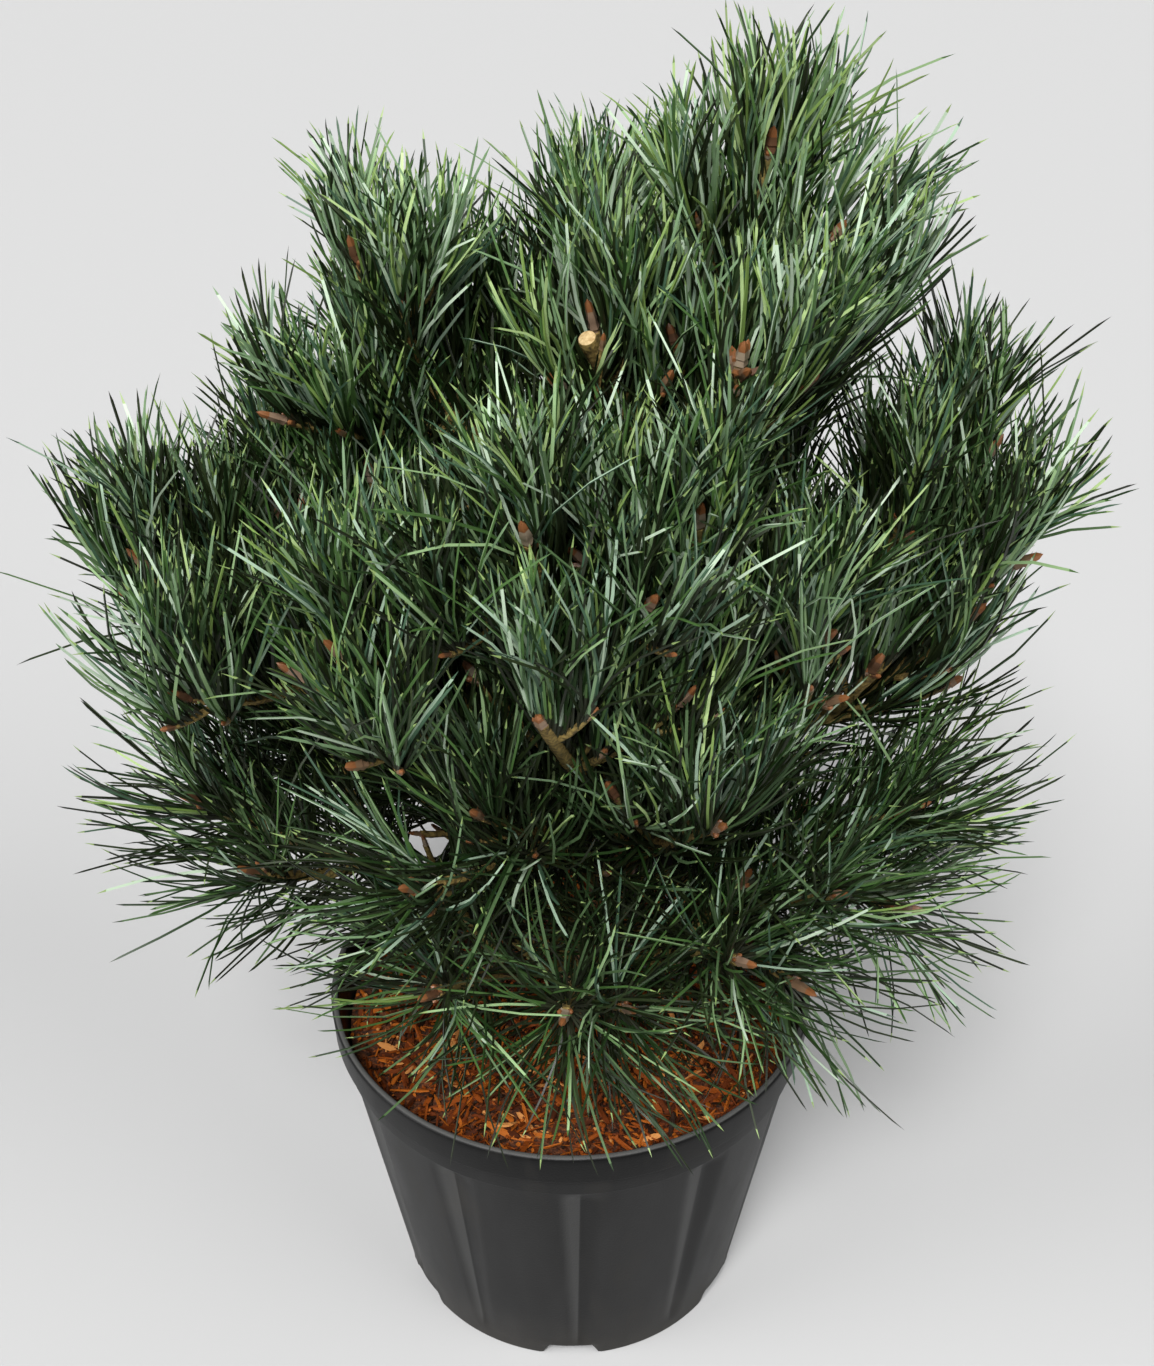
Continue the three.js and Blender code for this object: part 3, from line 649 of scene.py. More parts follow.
def limb_curve(start, azimuth, reach, height):
    """A limb rises from its start to its bud, at its tip the more steeply the higher it sits."""
    bud = turned_by(azimuth) * reach * 0.001 + UP * height * 0.001
    outward = unit((bud - start) * (1, 1, 0))
    slope = math.radians(mixed(*TIP_SLOPE_DEGREES, rank_at(bud[2])))
    heading = outward * math.cos(slope) + UP * math.sin(slope)
    return (start, bud - heading * LIMB_ARM * np.linalg.norm(bud - start), bud)


limbs = []
for name, height, azimuth, reach, bud_height, twigs, turn in LIMBS:
    is_leader = name == "leader"
    start = TRUNK_CURVE[2] if is_leader else point_on(TRUNK_CURVE, trunk_share_at(height * 0.001))
    curve = limb_curve(start, azimuth, reach, bud_height)
    bare = 0 if is_leader else 1 - clamped(STEM_SHARE * length_of(curve), *STEM_LENGTHS) / length_of(curve)
    limbs.append({"name": name, "curve": curve, "from": bare, "twigs": twigs, "turn": turn})


def rod(curve, start, end, radii, step):
    """Points and radii along a stretch of a curve, a step apart."""
    count = max(3, round(length_of(curve) * (end - start) / step))
    share = np.linspace(0, 1, count)
    return point_on(curve, mixed(start, end, share)), mixed(radii[0], radii[1], share)


bough_rods = []
for limb in limbs[:-1]:
    points, radii = rod(limb["curve"], 0, limb["from"], BOUGH_RADII, BOUGH_STEP)
    bough_rods.append((points, radii + BOUGH_SWELLING * np.linspace(1, 0, len(radii)) ** 6))
boughs = wood("boughs_in_bark", bough_rods, roundness=3, relief_size=0.0045, relief_depth=0.0009)

shoot_bark = Finish("young_bark", 0.8, (0.17, 0.11, 0.04))
flecks = shoot_bark.cloud(420, 5.0)
age = shoot_bark.cloud(16, 2.0)
browns = [(0.32, (0.060, 0.038, 0.010)), (0.52, (0.20, 0.135, 0.034)), (0.75, (0.38, 0.27, 0.08))]
greened = ((age - 0.45) * 3).kept() * 0.5
shoot_bark.put("Base Color", shoot_bark.blend(greened, shoot_bark.ramp(flecks, browns), (0.13, 0.14, 0.035)))
shoot_bark.put("Roughness", 0.7 + 0.2 * flecks)
shoot_bark.relief(flecks, 0.6, 0.0012)
finished(boughs, [shoot_bark], ["bough_" + limb["name"] for limb in limbs[:-1]], smooth=60)

# The former leader was pruned. Its stub stands beside the crown's middle bough, with bark round its side and
# a pale, flat, round cut face of bare wood that has dried a little darker in places.
STUB_BOUGH = "crown_middle"
STUB_START = 0.70
STUB_FACE = np.array([0.0089, -0.035, 0.6883])
STUB_FACE_REACH = 0.006
STUB_RADIUS = 0.0049
STUB_BARK = 0.0005


def limb_named(name):
    return next(limb for limb in limbs if limb["name"] == name)


stub_root = point_on(limb_named(STUB_BOUGH)["curve"], STUB_START)
length = np.linalg.norm(STUB_FACE - stub_root)
stub_profile = [
    (POLE, 0),
    (0.0036, 0),
    (0.0040, 0.3 * length),
    (0.0045, 0.8 * length),
    (STUB_RADIUS, 0.93 * length),
    (STUB_RADIUS * 0.97, length - 0.0004),
    (STUB_RADIUS * 0.9, length),
    (STUB_RADIUS * 0.5, length + 0.0001),
    (0, length + 0.0002),
]
stub = turned("pruned_stub", stub_profile, 20)
stub_along = Vector(STUB_FACE - stub_root)
stub_turn = stub_along.to_track_quat("Z", "Y")
for vertex in stub.data.vertices:
    rough = STUB_BARK * noise.noise(vertex.co * 700) if vertex.co.z < length - 0.002 else 0
    vertex.co = stub_turn @ (vertex.co * (1 + rough / STUB_RADIUS)) + Vector(stub_root)
for face in stub.data.polygons:
    is_level = Vector(face.normal).dot(stub_along.normalized()) > 0.7
    is_cut = is_level and (Vector(STUB_FACE) - face.center).length < STUB_FACE_REACH
    face.material_index = 1 if is_cut else 0
cut_wood = Finish("cut_pine_wood", 0.7, (0.60, 0.42, 0.20))
rings = cut_wood.cloud(420, 3.0)
cut_wood.put("Base Color", cut_wood.ramp(rings, [(0.35, (0.42, 0.26, 0.10)), (0.65, (0.72, 0.54, 0.28))]))
cut_wood.relief(rings, 0.3, 0.0005)
finished(stub, [shoot_bark, cut_wood], [], smooth=40)

# Shoots are the last years' growth: from each limb's leafy stem, side twigs leave by a seeded rule, and short
# finer twigs leave these in turn. They are olive to yellow-brown, round, and rough with the needles' scars.
STEM_RADII = (0.0046, 0.0034)
SEAT_GAP = 0.0003
TWIG_SHARES = (0.12, 0.55)
TWIG_REACH = 0.95
TWIG_SPREAD = 0.25
TWIG_SHORTEST = 0.056
TWIG_ANGLE = 48
TWIG_ANGLE_SPREAD = 12
TWIG_LIFT = 0.5
TWIG_RADII = (0.0036, 0.0027)
TWIG_CLEARANCE = 0.017
TWIG_TRIES = 9
TWIG_SEED = 20260
BOUGH_ROOM = 0.0054
# one more twig, in front of the crown's right side
RIGHT_TWIG_LIMB = "crown_front"
RIGHT_TWIG_START = 0.25
RIGHT_TWIG_TIP = np.array([0.152, -0.012, 0.684])
FINE_SHARES = (0.12, 0.82)
FINE_ANGLES = (34, 52)
FINE_SPACING = 0.030
FINE_LENGTHS = (0.026, 0.044)
FINE_LOWEST = 0.44
FINE_RADII = (0.0024, 0.0019)
FINE_CLEARANCE = 0.010
FINE_SEED = 20760
# inner twigs leave a bare bough past this share of its length
INNER_START = 0.40
INNER_LENGTHS = (0.040, 0.062)
INNER_SPACING = 0.026
SHOOT_OVERLAP = 0.999
SHOOT_STEP = 0.006
RIGHT = np.array([1.0, 0.0, 0.0])
NEARLY_UPRIGHT = 0.9995
GOLDEN_ANGLE = math.pi * (3 - math.sqrt(5))


def seeded_random(seed):
    """A repeatable stream of numbers from 0 to 1."""
    state = (seed * 48271) % 2147483647
    while True:
        state = (state * 16807) % 2147483647
        yield state / 2147483647


def frame_across(directions):
    """Two unit vectors square to a direction, or to each of several, and to each other."""
    reference = np.where(np.abs(directions[..., 2:]) > NEARLY_UPRIGHT, RIGHT, UP)
    side = unit(np.cross(directions, reference))
    return side, np.cross(side, directions)


def leaving(direction, angle, turn):
    """The direction that leaves another one by an angle, at a turn round it."""
    side, rise = frame_across(direction)
    return direction * math.cos(angle) + (side * math.cos(turn) + rise * math.sin(turn)) * math.sin(angle)


def pieces_of(curve, start, end, count, radius):
    """Straight pieces that stand for a stretch of a curve where distances are measured."""
    points = point_on(curve, np.linspace(start, end, count + 1))
    return [(a, b - a, radius) for a, b in zip(points, points[1:])]


def distance_to(points, pieces):
    """The distance from each of some points to the nearest of some straight pieces."""
    if not pieces:
        return np.full(len(points), np.inf)
    start, along, radius = (np.array(part) for part in zip(*pieces))
    away = points[:, None] - start
    share = np.clip(np.sum(away * along, axis=-1) / np.sum(along * along, axis=-1), 0, 1)
    return (np.linalg.norm(away - along * share[..., None], axis=-1) - radius).min(axis=1)


def clear_of_pot(points, gap):
    """Whether each of some points lies above the fill, or outside the pot's wall and rim, by a gap."""
    radius = np.hypot(points[:, 0], points[:, 1])
    above_mix = points[:, 2] > mix_height_at(radius) + gap
    above_rim = points[:, 2] > POT_HEIGHT + gap
    return np.where(radius < WALL_TOP - WALL, above_mix, (radius > RIM_RADIUS + gap) | above_rim)


def shoot_of(curve, start, end, radii):
    """A stretch of a curve that bears twigs and needles."""
    length = length_of(curve) * (end - start)
    return {"curve": curve, "from": start, "to": end, "length": length, "radii": radii}


def twig_from(parent, share, turn, angle, length, radii):
    t = mixed(parent["from"], 1, share)
    root = point_on(parent["curve"], t)
    heading = leaving(tangent_of(parent["curve"], t), angle, turn)
    middle = root + heading * length / 2
    return shoot_of((root, middle, middle + unit(heading + UP * TWIG_LIFT) * length / 2), 0, 1, radii)


def side_twig(stem, share, turn, random):
    angle = math.radians(TWIG_ANGLE + TWIG_ANGLE_SPREAD * (2 * next(random) - 1))
    length = max(TWIG_SHORTEST, TWIG_REACH * (1 - share) * stem["length"] * (1 - TWIG_SPREAD * next(random)))
    return twig_from(stem, share, turn, angle, length, TWIG_RADII)


def wood_of(twig):
    return pieces_of(twig["curve"], twig["from"], 1, 6, 0)


def others_wood(limb):
    """The shoots of every limb but one, as straight pieces."""
    shoots = [twig for other in limbs if other is not limb for twig in other["shoots"]]
    return [piece for twig in shoots for piece in wood_of(twig)]


def is_clear(twig, others, nearby):
    """Whether a twig keeps clear of other limbs' shoots, of its neighbours and of the pot."""
    along = point_on(twig["curve"], [0.2, 0.4, 0.6, 0.8, 1])
    outer = point_on(twig["curve"], [0.5, 0.75, 1])
    return (
        (distance_to(along, others) > TWIG_CLEARANCE).all()
        and (distance_to(outer, nearby) > TWIG_CLEARANCE).all()
        and clear_of_pot(along[-1:], TWIG_CLEARANCE).all()
    )


bare_wood = pieces_of(TRUNK_CURVE, 0, 1, 12, TRUNK_RADII[0])
for limb in limbs[:-1]:
    bare_wood += pieces_of(limb["curve"], 0, limb["from"], 6, BOUGH_ROOM)
for limb in limbs:
    start = limb["from"] + SEAT_GAP / length_of(limb["curve"])
    limb["shoots"] = [shoot_of(limb["curve"], start, 1, STEM_RADII)]

for number, limb in enumerate(limbs):
    random = seeded_random(TWIG_SEED + number)
    others = others_wood(limb)
    for k in range(limb["twigs"]):
        share = mixed(*TWIG_SHARES, (k + 0.5 * next(random)) / limb["twigs"])
        nearby = bare_wood + [piece for twig in limb["shoots"][1:] for piece in wood_of(twig)]
        for attempt in range(TWIG_TRIES):
            turn = math.radians(limb["turn"]) + (k + attempt * limb["twigs"]) * GOLDEN_ANGLE
            twig = side_twig(limb["shoots"][0], share, turn, random)
            if is_clear(twig, others, nearby):
                limb["shoots"].append(twig)
                break

limb = limb_named(RIGHT_TWIG_LIMB)
root = point_on(limb["curve"], mixed(limb["from"], 1, RIGHT_TWIG_START))
limb["shoots"].append(shoot_of((root, (root + RIGHT_TWIG_TIP) / 2, RIGHT_TWIG_TIP), 0, 1, TWIG_RADII))

for number, limb in enumerate(limbs):
    random = seeded_random(FINE_SEED + number)
    others = others_wood(limb)
    parents = []
    if limb["curve"][2][2] > FINE_LOWEST:
        ways = (*FINE_SHARES, FINE_LENGTHS, FINE_SPACING, False)
        parents = [(twig, *ways) for twig in limb["shoots"]]
    if limb["from"]:
        bare = shoot_of(limb["curve"], 0, limb["from"], BOUGH_RADII)
        stretch = (INNER_START * limb["from"], limb["from"])
        parents.append((bare, *stretch, INNER_LENGTHS, INNER_SPACING, True))
    fine = []
    for twig, first, last, lengths, spacing, is_inner_twig in parents:
        count = max(1, int(twig["length"] / spacing))
        for k in range(count):
            share = mixed(first, last, (k + next(random)) / count)
            angle = math.radians(mixed(*FINE_ANGLES, next(random)))
            length = mixed(*lengths, next(random))
            finer = twig_from(twig, share, (k + next(random)) * GOLDEN_ANGLE, angle, length, FINE_RADII)
            finer["is_inner"] = is_inner_twig
            tip = point_on(finer["curve"], [1.0])
            apart = distance_to(tip, others + bare_wood)[0] > FINE_CLEARANCE
            if apart and clear_of_pot(tip, TWIG_CLEARANCE)[0]:
                fine.append(finer)
    limb["shoots"] += fine

shoot_rods = [
    rod(twig["curve"], twig["from"] * SHOOT_OVERLAP, 1, twig["radii"], SHOOT_STEP)
    for limb in limbs
    for twig in limb["shoots"]
]
shoots = wood("leafy_shoots", shoot_rods, roundness=1, relief_size=0.003, relief_depth=0.0007)
finished(shoots, [shoot_bark], [], smooth=60)

# Needles stand in pairs round a shoot, close to its line at the bud and opening further down. Each is a stiff
# blade about 80 mm long and 2 mm wide, round and green outside, flat with a bloom of wax inside.
NEEDLE_SEED = 41
BARE_FOOT = 0.010
BUD_ROOM = 0.004
OPENS_OVER = 0.090
# how needles stand on shoots that end at these shares of the crown's height, with angles in degrees
RANKS = (0, 0.25, 0.5, 1)
BY_RANK = {
    "length": (0.083, 0.088, 0.089, 0.069),
    "width": (0.0018, 0.0019, 0.0021, 0.0021),
    "spacing": (0.00095, 0.00085, 0.00090, 0.00102),
    "crowding": (2.2, 1.9, 1.7, 1.4),
    "angle at bud": (50, 40, 24, 20),
    "widest angle": (80, 68, 52, 50),
    "lift": (0.24, 0.46, 1.25, 0.34),
    "rise": (0.00, 0.45, 1.25, 0.50),
    "old in shade": (1.40, 1.75, 1.50, 0.75),
    "young in shade": (0.15, 0.17, 0.10, 0),
}
LENGTH_SPREAD = 0.12
WIDTH_SPREAD = (0.85, 1.12)
SHORTER_ON = {"upper_left": 0.86}
TURN_SPREAD = 0.35
DIVERGENCE_SPREAD = 5
PAIR_SPREAD = 0.06
HEADING_SPREAD = 0.02
BEND_SHARE = 0.40
SWAY_SPREAD = 0.25
SINGLE_SWAY_SPREAD = 0.09
# old bare wood in the crown's depth still bears some needles, and inner twigs bear short ones
OLD_WOOD_SHARE = 0.55
OLD_WOOD_SPACING = 0.0026
OLD_NEEDLE_REACH = 0.078
INNER_PAIR_SPACING = 0.0013
INNER_SHARE = 0.72
# where along its length a needle is tested, its room to the pot, and how far it may pass the solids' box
COARSE_TESTS = (0.35, 0.7, 1.0)
FINE_TESTS = np.linspace(0.08, 1.0, 13)
NEEDLE_ROOM = 0.0015
BOX_MARGIN = 0.006
# Needles part before the stub, the buds, some limbs' stems and the front left of the pot's rim, so that these
# show: the way they part, how far and how wide.
STUB_OUTLOOK, STUB_OPENING = np.array([0.0, -0.80, 0.60]), (0.11, 0.010)
BUD_OUTLOOK, BUD_OPENING = np.array([0.0, -0.82, 0.57]), (0.055, 0.0045)
CLUSTER_LIMB = "crown_front"
CLUSTER_ROOM = 0.0105
BUD_MIDDLE = 0.008
BACK_FROM = 0.06
STEM_OUTLOOK, STEM_OPENING = np.array([0.03, -0.72, 0.69]), (0.050, 0.0018)
STEM_ROOM = 0.004
PARTED_SHARES = np.linspace(0.15, 0.75, 6)
PARTED_LIMBS = ("left", "low_left", "left_front", "front_middle", "middle_right", "right", "front_left")
RIM_OPENING, RIM_OUTSIDE = (0.14, 0.020), 0.165
RIM_TURNS = (188, 204, 220, 236)
# gaps through the crown, from one point to another, and how wide; some needles are left in the thin ones
OPEN_GAPS = [
    ((-0.060, -0.26, 0.556), (-0.099, 0.16, 0.211), 0.010),
    ((0.170, 0.03, 0.424), (0.212, 0.27, 0.250), 0.022),
]
THIN_GAPS = [
    ((0.141, -0.104, 0.544), (0.202, 0.268, 0.290), 0.017),
    ((0.129, -0.080, 0.480), (0.178, 0.261, 0.228), 0.015),
]
LEFT_IN_THIN_GAPS = 0.22
# low shoots get more deep and near-black green as painted shade, high shoots more pale green as painted light
NEEDLE_GREENS = [
    # shares of the pairs on the lowest and the highest shoots, colours of the outside and the waxy inside
    (0.40, 0.10, (0.011, 0.029, 0.006), (0.062, 0.112, 0.044)),
    (0.26, 0.24, (0.050, 0.110, 0.027), (0.225, 0.345, 0.162)),
    (0.15, 0.17, (0.042, 0.088, 0.050), (0.300, 0.415, 0.300)),
    (0.06, 0.36, (0.144, 0.234, 0.118), (0.430, 0.540, 0.400)),
    (0.02, 0.16, (0.156, 0.246, 0.062), (0.390, 0.530, 0.225)),
    (0.16, 0.05, (0.006, 0.010, 0.002), (0.015, 0.025, 0.006)),
]
# the places in this list of the deep green and of the near-black green of painted shade
DEEP, SHADED = 0, 5
SHARES_CURVE = 1.2
TIP_COLOUR = (0.205, 0.295, 0.095)
TIPPED_SHARE = 0.36
SHEATH_AND_FOOT_SHADE = (0.012, 0.016, 0.004)

needle = turned("needle_master", [(0.36, 0), (0.5, 0.18), (0.5, 0.46), (0.48, 0.74), (0.40, 0.95), (0, 1)], 3)
for vertex in needle.data.vertices:
    vertex.co.y *= 0.75
heights, outward = np.array([(face.center.z, face.normal.y) for face in needle.data.polygons]).T
is_inner, is_foot, is_tip = outward < -0.5, heights < 0.15, heights > 0.92

greens = [
    Finish(f"needle_{face}_{i}", roughness, family[column], Specular_IOR_Level=0.3)
    for face, roughness, column in (("outside", 0.42, 2), ("inside", 0.5, 3))
    for i, family in enumerate(NEEDLE_GREENS)
]
greens += [Finish("needle_tip", 0.5, TIP_COLOUR), Finish("needle_sheath_and_painted_shade", 0.6, SHEATH_AND_FOOT_SHADE)]
families = len(NEEDLE_GREENS)
tip_green, sheath_and_shade_green = 2 * families, 2 * families + 1


def pairs_on(twig, random):
    """Roots, headings, sway, families of green, widths, lengths and ages of a shoot's needle pairs. Their age
    is 0 at the bud and 1 where they stand fully open."""
    rank = rank_at(point_on(twig["curve"], twig["to"])[2])
    look = {name: np.interp(rank, RANKS, row) for name, row in BY_RANK.items()}
    leafy = twig["length"] - BARE_FOOT - BUD_ROOM
    is_inner_twig = twig.get("is_inner", False)
    spacing = INNER_PAIR_SPACING if is_inner_twig else look["spacing"]
    count = max(4, int(leafy / twig.get("spacing", spacing)))
    places = (np.arange(count) + random.random(count)) / count
    back = BUD_ROOM + leafy * places ** look["crowding"]
    age = np.clip(back / OPENS_OVER, 0, 1) if twig["to"] == 1 else np.ones(count)
    t = mixed(twig["to"], twig["from"], back / twig["length"])
    centre, tangent = point_on(twig["curve"], t), tangent_of(twig["curve"], t)
    side, rise = frame_across(tangent)
    turn = np.arange(count) * GOLDEN_ANGLE + random.normal(0, TURN_SPREAD, count)
    across = side * np.cos(turn)[:, None] + rise * np.sin(turn)[:, None]
    angle = mixed(look["angle at bud"], look["widest angle"], age)
    angle = np.radians(angle + DIVERGENCE_SPREAD * random.normal(size=count).clip(-2, 1.5))[:, None]
    heading = unit(tangent * np.cos(angle) + across * np.sin(angle) + UP * look["lift"])
    shares = np.array([mixed(lowest, highest, rank**SHARES_CURVE) for lowest, highest, _, _ in NEEDLE_GREENS])
    family = random.choice(families, count, p=shares / shares.sum())
    # older needles, and all on inner twigs, are dealt these greens as painted shade of the crown's depth
    shaded_share = 1 if is_inner_twig else look["old in shade"] * age + look["young in shade"]
    is_shaded = random.random(count) < shaded_share
    shaded_greens = [SHADED, SHADED, SHADED, DEEP] if is_inner_twig else [DEEP, *[SHADED] * 4]
    family = np.where(is_shaded, random.choice(shaded_greens, count), family)
    sway = tangent * (0.1 + 0.6 * rank) + UP * look["rise"] + random.normal(0, SWAY_SPREAD, (count, 3))
    width = np.full(count, look["width"])
    length = np.full(count, look["length"] * (INNER_SHARE if is_inner_twig else 1))
    return centre + across * twig["radii"][1] * 0.7, heading, sway, family, width, length, age


# each opening is a start, a stretch from it and a width
openings, thin_gaps = (
    [(start, np.subtract(end, start), width) for start, end, width in gaps] for gaps in (OPEN_GAPS, THIN_GAPS)
)
openings.append((STUB_FACE, STUB_OUTLOOK * STUB_OPENING[0], STUB_OPENING[1]))
for limb in limbs:
    for twig in limb["shoots"][:2]:
        if twig["radii"] != FINE_RADII:
            bud_middle = point_on(twig["curve"], 1.0) + tangent_of(twig["curve"], 1.0) * BUD_MIDDLE
            is_behind = bud_middle[1] > BACK_FROM
            outlook = unit(bud_middle * (1, 1, 0)) * 0.8 + UP * 0.6 if is_behind else BUD_OUTLOOK
            is_cluster = limb["name"] == CLUSTER_LIMB and twig is limb["shoots"][0]
            width = CLUSTER_ROOM if is_cluster else BUD_OPENING[1]
            openings.append((bud_middle, outlook * BUD_OPENING[0], width))
for limb in map(limb_named, PARTED_LIMBS):
    for share in PARTED_SHARES:
        start = point_on(limb["curve"], mixed(limb["from"], 1, share)) + STEM_OUTLOOK * STEM_ROOM
        openings.append((start, STEM_OUTLOOK * STEM_OPENING[0], STEM_OPENING[1]))
for turn in RIM_TURNS:
    start = turned_by(turn) * RIM_OUTSIDE + UP * POT_HEIGHT
    openings.append((start, STEM_OUTLOOK * RIM_OPENING[0], RIM_OPENING[1]))


def needles_of(limb, number):
    """A limb's needles as one mesh, without those that pass through something or stand in an opening."""
    random = np.random.default_rng(NEEDLE_SEED + number)
    shoots_and_wood = list(limb["shoots"])
    if limb["from"]:
        old_wood = shoot_of(limb["curve"], OLD_WOOD_SHARE * limb["from"], limb["from"], BOUGH_RADII)
        shoots_and_wood.append({**old_wood, "spacing": OLD_WOOD_SPACING})
    parts = [pairs_on(twig, random) for twig in shoots_and_wood]
    root, heading, sway, family, width, length, age = (np.concatenate(column) for column in zip(*parts))
    needles = 2 * len(root)
    plane = square_to(heading, random_directions(random, len(root)))
    root, sway, family, width, length, age = (
        np.tile(column.T, 2).T for column in (root, sway, family, width, length, age)
    )
    opened = unit(np.concatenate([heading + plane * PAIR_SPREAD, heading - plane * PAIR_SPREAD]))
    opened = unit(opened + random.normal(0, HEADING_SPREAD, opened.shape))
    facing = np.concatenate([plane, -plane])
    length *= SHORTER_ON.get(limb["name"], 1)
    length *= 1 + LENGTH_SPREAD * random.normal(size=needles).clip(-2, 1.3)
    bend = square_to(opened, sway + random.normal(0, SINGLE_SWAY_SPREAD, sway.shape))
    bend *= (BEND_SHARE * length * random.gamma(5, 0.2, needles).clip(0, 1.9))[:, None]

    def points_at(share):
        return root + opened * (length * share)[:, None] + bend * share**2

    low, high = (np.array(corner) for corner in cad_box)
    fits = np.ones(needles, bool)
    for share in COARSE_TESTS:
        points = points_at(share)
        fits &= clear_of_pot(points, NEEDLE_ROOM)
        fits &= ((points > low - BOX_MARGIN) & (points < high + BOX_MARGIN)).all(axis=1)
        fits &= distance_to(points, bare_wood) > 0
    is_left = random.random(needles) < LEFT_IN_THIN_GAPS
    for share in FINE_TESTS:
        points = points_at(share)
        fits &= distance_to(points, openings) > 0
        fits &= (distance_to(points, thin_gaps) > 0) | is_left
    own_wood = [piece for twig in limb["shoots"] for piece in wood_of(twig)]
    fits &= (age < 0.5) | (distance_to(points_at(1.0), own_wood) < OLD_NEEDLE_REACH)
    side = np.cross(square_to(opened, facing), opened)
    is_tipped = random.random(needles) < TIPPED_SHARE
    index = np.where(is_inner, family[:, None] + families, family[:, None])
    index = np.where(is_tip & is_tipped[:, None], tip_green, index)
    # a needle's foot is dark: its sheath, and beyond it painted shade
    index = np.where(is_foot, sheath_and_shade_green, index)
    width *= random.uniform(*WIDTH_SPREAD, needles)
    return copies(
        "needles_on_" + limb["name"], needle, root[fits], opened[fits], side[fits],
        length[fits], width[fits], index[fits], bend[fits],
    )


for number, limb in enumerate(limbs):
    finished(needles_of(limb, number), greens, ["needles_" + limb["name"]], smooth=50)
discarded(needle)

# Winter buds end every shoot: one long bud with a few shorter ones round its foot, all of overlapping papery
# scales, orange-brown to red-brown with pale crusts of resin. A ring of long ones crowns the front.
BUD_LENGTHS = (0.015, 0.025)
BUD_WIDTHS = (0.00595, 0.0077)
BUD_SEAT = 0.004
FINE_BUD_SCALE = 0.62
SIDE_BUDS = 3
SIDE_BUD_ANGLES = (24, 40)
SIDE_BUD_TURN = 2.1
SIDE_BUD_LENGTHS = (0.007, 0.011)
SIDE_BUD_WIDTHS = (0.00385, 0.00525)
CLUSTER_BUDS = 6
CLUSTER_ANGLES = (38, 72)
CLUSTER_SEATS = (0.004, 0.010)
CLUSTER_LIFT = 0.3
CLUSTER_LENGTHS = (0.013, 0.019)
CLUSTER_WIDTHS = (0.00525, 0.00665)
BUD_COLOURS = [(0.19, 0.115, 0.065), (0.11, 0.052, 0.026), (0.25, 0.165, 0.110), (0.30, 0.235, 0.165)]
BUD_TIP = (0.23, 0.088, 0.030)
SCALE_ROWS = 4

bud_profile = [(0.30, 0)]
for i in range(SCALE_ROWS):
    share = i / SCALE_ROWS
    swell = 0.5 * math.sin(math.pi * (0.30 + 0.62 * share)) ** 0.8
    bud_profile += [(swell, 0.05 + 0.9 * share), (swell * 0.80, 0.05 + 0.9 * share + 0.17)]
bud_profile.append((0, 1.03))
bud = turned("bud_master", bud_profile, 5)
is_bud_tip = np.array([face.center.z > 0.72 for face in bud.data.polygons])
bud_random = np.random.default_rng(17)

# root, heading, length and width of each bud
placed = []
for limb in limbs:
    for twig in limb["shoots"]:
        tip, tangent = point_on(twig["curve"], 1.0), tangent_of(twig["curve"], 1.0)
        root = tip - tangent * BUD_SEAT
        is_fine = twig["radii"] == FINE_RADII
        scale = FINE_BUD_SCALE if is_fine else 1.0
        length = scale * bud_random.uniform(*BUD_LENGTHS)
        placed.append((root, tangent, length, scale * bud_random.uniform(*BUD_WIDTHS)))
        for k in range(0 if is_fine else bud_random.integers(1, SIDE_BUDS + 1)):
            angle = math.radians(bud_random.uniform(*SIDE_BUD_ANGLES))
            heading = leaving(tangent, angle, k * SIDE_BUD_TURN + bud_random.random())
            length = bud_random.uniform(*SIDE_BUD_LENGTHS)
            placed.append((root, heading, length, bud_random.uniform(*SIDE_BUD_WIDTHS)))
curve = limb_named(CLUSTER_LIMB)["curve"]
tip, tangent = point_on(curve, 1.0), tangent_of(curve, 1.0)
for k in range(CLUSTER_BUDS):
    angle = math.radians(bud_random.uniform(*CLUSTER_ANGLES))
    heading = leaving(tangent, angle, (k + 0.5 * bud_random.random()) * math.tau / CLUSTER_BUDS)
    root = tip - tangent * bud_random.uniform(*CLUSTER_SEATS)
    length = bud_random.uniform(*CLUSTER_LENGTHS)
    placed.append((root, unit(heading + UP * CLUSTER_LIFT), length, bud_random.uniform(*CLUSTER_WIDTHS)))
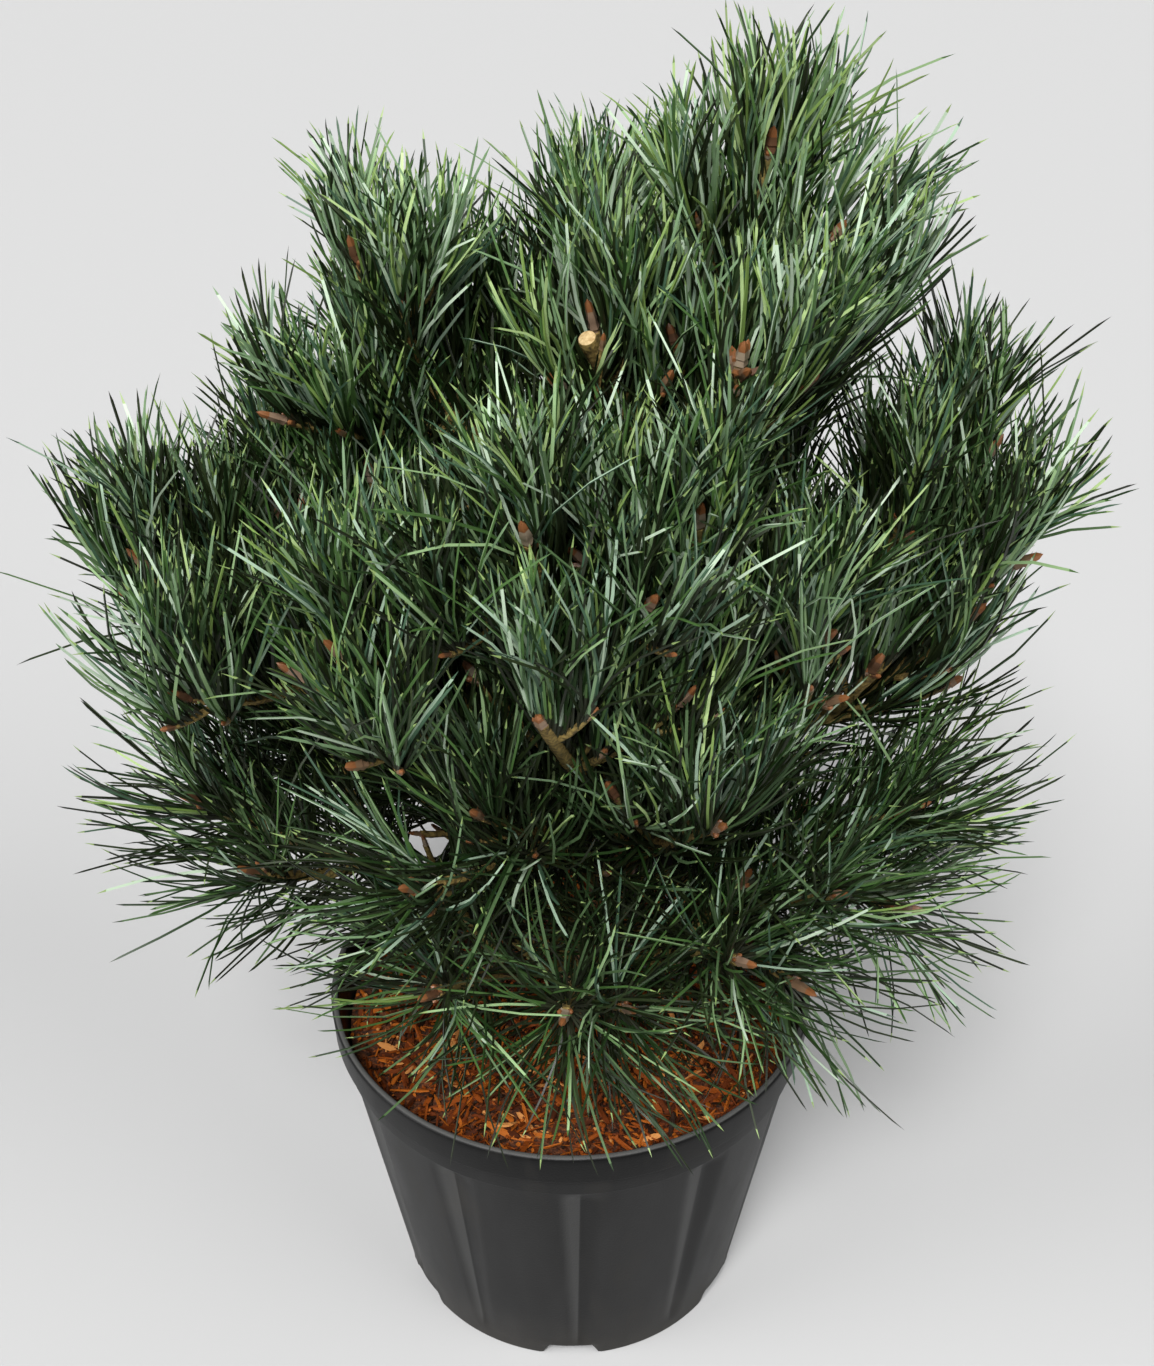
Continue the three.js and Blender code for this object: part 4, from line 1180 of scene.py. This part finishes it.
roots, headings, lengths, widths = (np.array(column) for column in zip(*placed))
colours = bud_random.choice(len(BUD_COLOURS), len(roots))
buds = copies(
    "winter_buds", bud, roots, headings, square_to(headings, random_directions(bud_random, len(roots))),
    lengths, widths, np.where(is_bud_tip, len(BUD_COLOURS), colours[:, None]),
)
bud_finishes = [Finish(f"bud_scales_{i}", 0.42, colour) for i, colour in enumerate([*BUD_COLOURS, BUD_TIP])]
finished(buds, bud_finishes, [], smooth=30)
discarded(bud)

# The plant stands on a plain pale studio floor, which isn't part of it, before a plain pale backdrop. A soft
# light stands high in front, a wide fill on each side, and a weak one behind.
SOFT_LIGHTS = [
    # tilt and turn (degrees), strength, softness (degrees)
    (39, -12, 4.35, 22),
    (50, 58, 1.5, 40),
    (-35, -10, 0.4, 50),
    (68, -72, 2.4, 34),
]

bpy.ops.mesh.primitive_plane_add(size=14, location=(0, 0, -0.0004))
floor = bpy.context.object
floor.name = "studio_floor"
floor.data.materials.append(Finish("pale_floor", 0.7, (0.42, 0.42, 0.42)).material)

for tilt, turn, strength, softness in SOFT_LIGHTS:
    bpy.ops.object.light_add(type="SUN", rotation=(math.radians(tilt), 0, math.radians(turn)))
    bpy.context.object.data.energy = strength
    bpy.context.object.data.angle = math.radians(softness)

world = bpy.data.worlds.new("pale_studio")
world.use_nodes = True
nodes, join = world.node_tree.nodes, world.node_tree.links.new
soft_light, backdrop = nodes["Background"], nodes.new("ShaderNodeBackground")
soft_light.inputs["Color"].default_value = (0.93, 0.94, 0.96, 1)
soft_light.inputs["Strength"].default_value = 0.05
backdrop.inputs["Color"].default_value = (0.74, 0.74, 0.74, 1)
seen, choice = nodes.new("ShaderNodeLightPath"), nodes.new("ShaderNodeMixShader")
join(seen.outputs["Is Camera Ray"], choice.inputs[0])
join(soft_light.outputs[0], choice.inputs[1])
join(backdrop.outputs[0], choice.inputs[2])
join(choice.outputs[0], nodes["World Output"].inputs["Surface"])
bpy.context.scene.world = world
bpy.context.scene.view_settings.view_transform = "Standard"
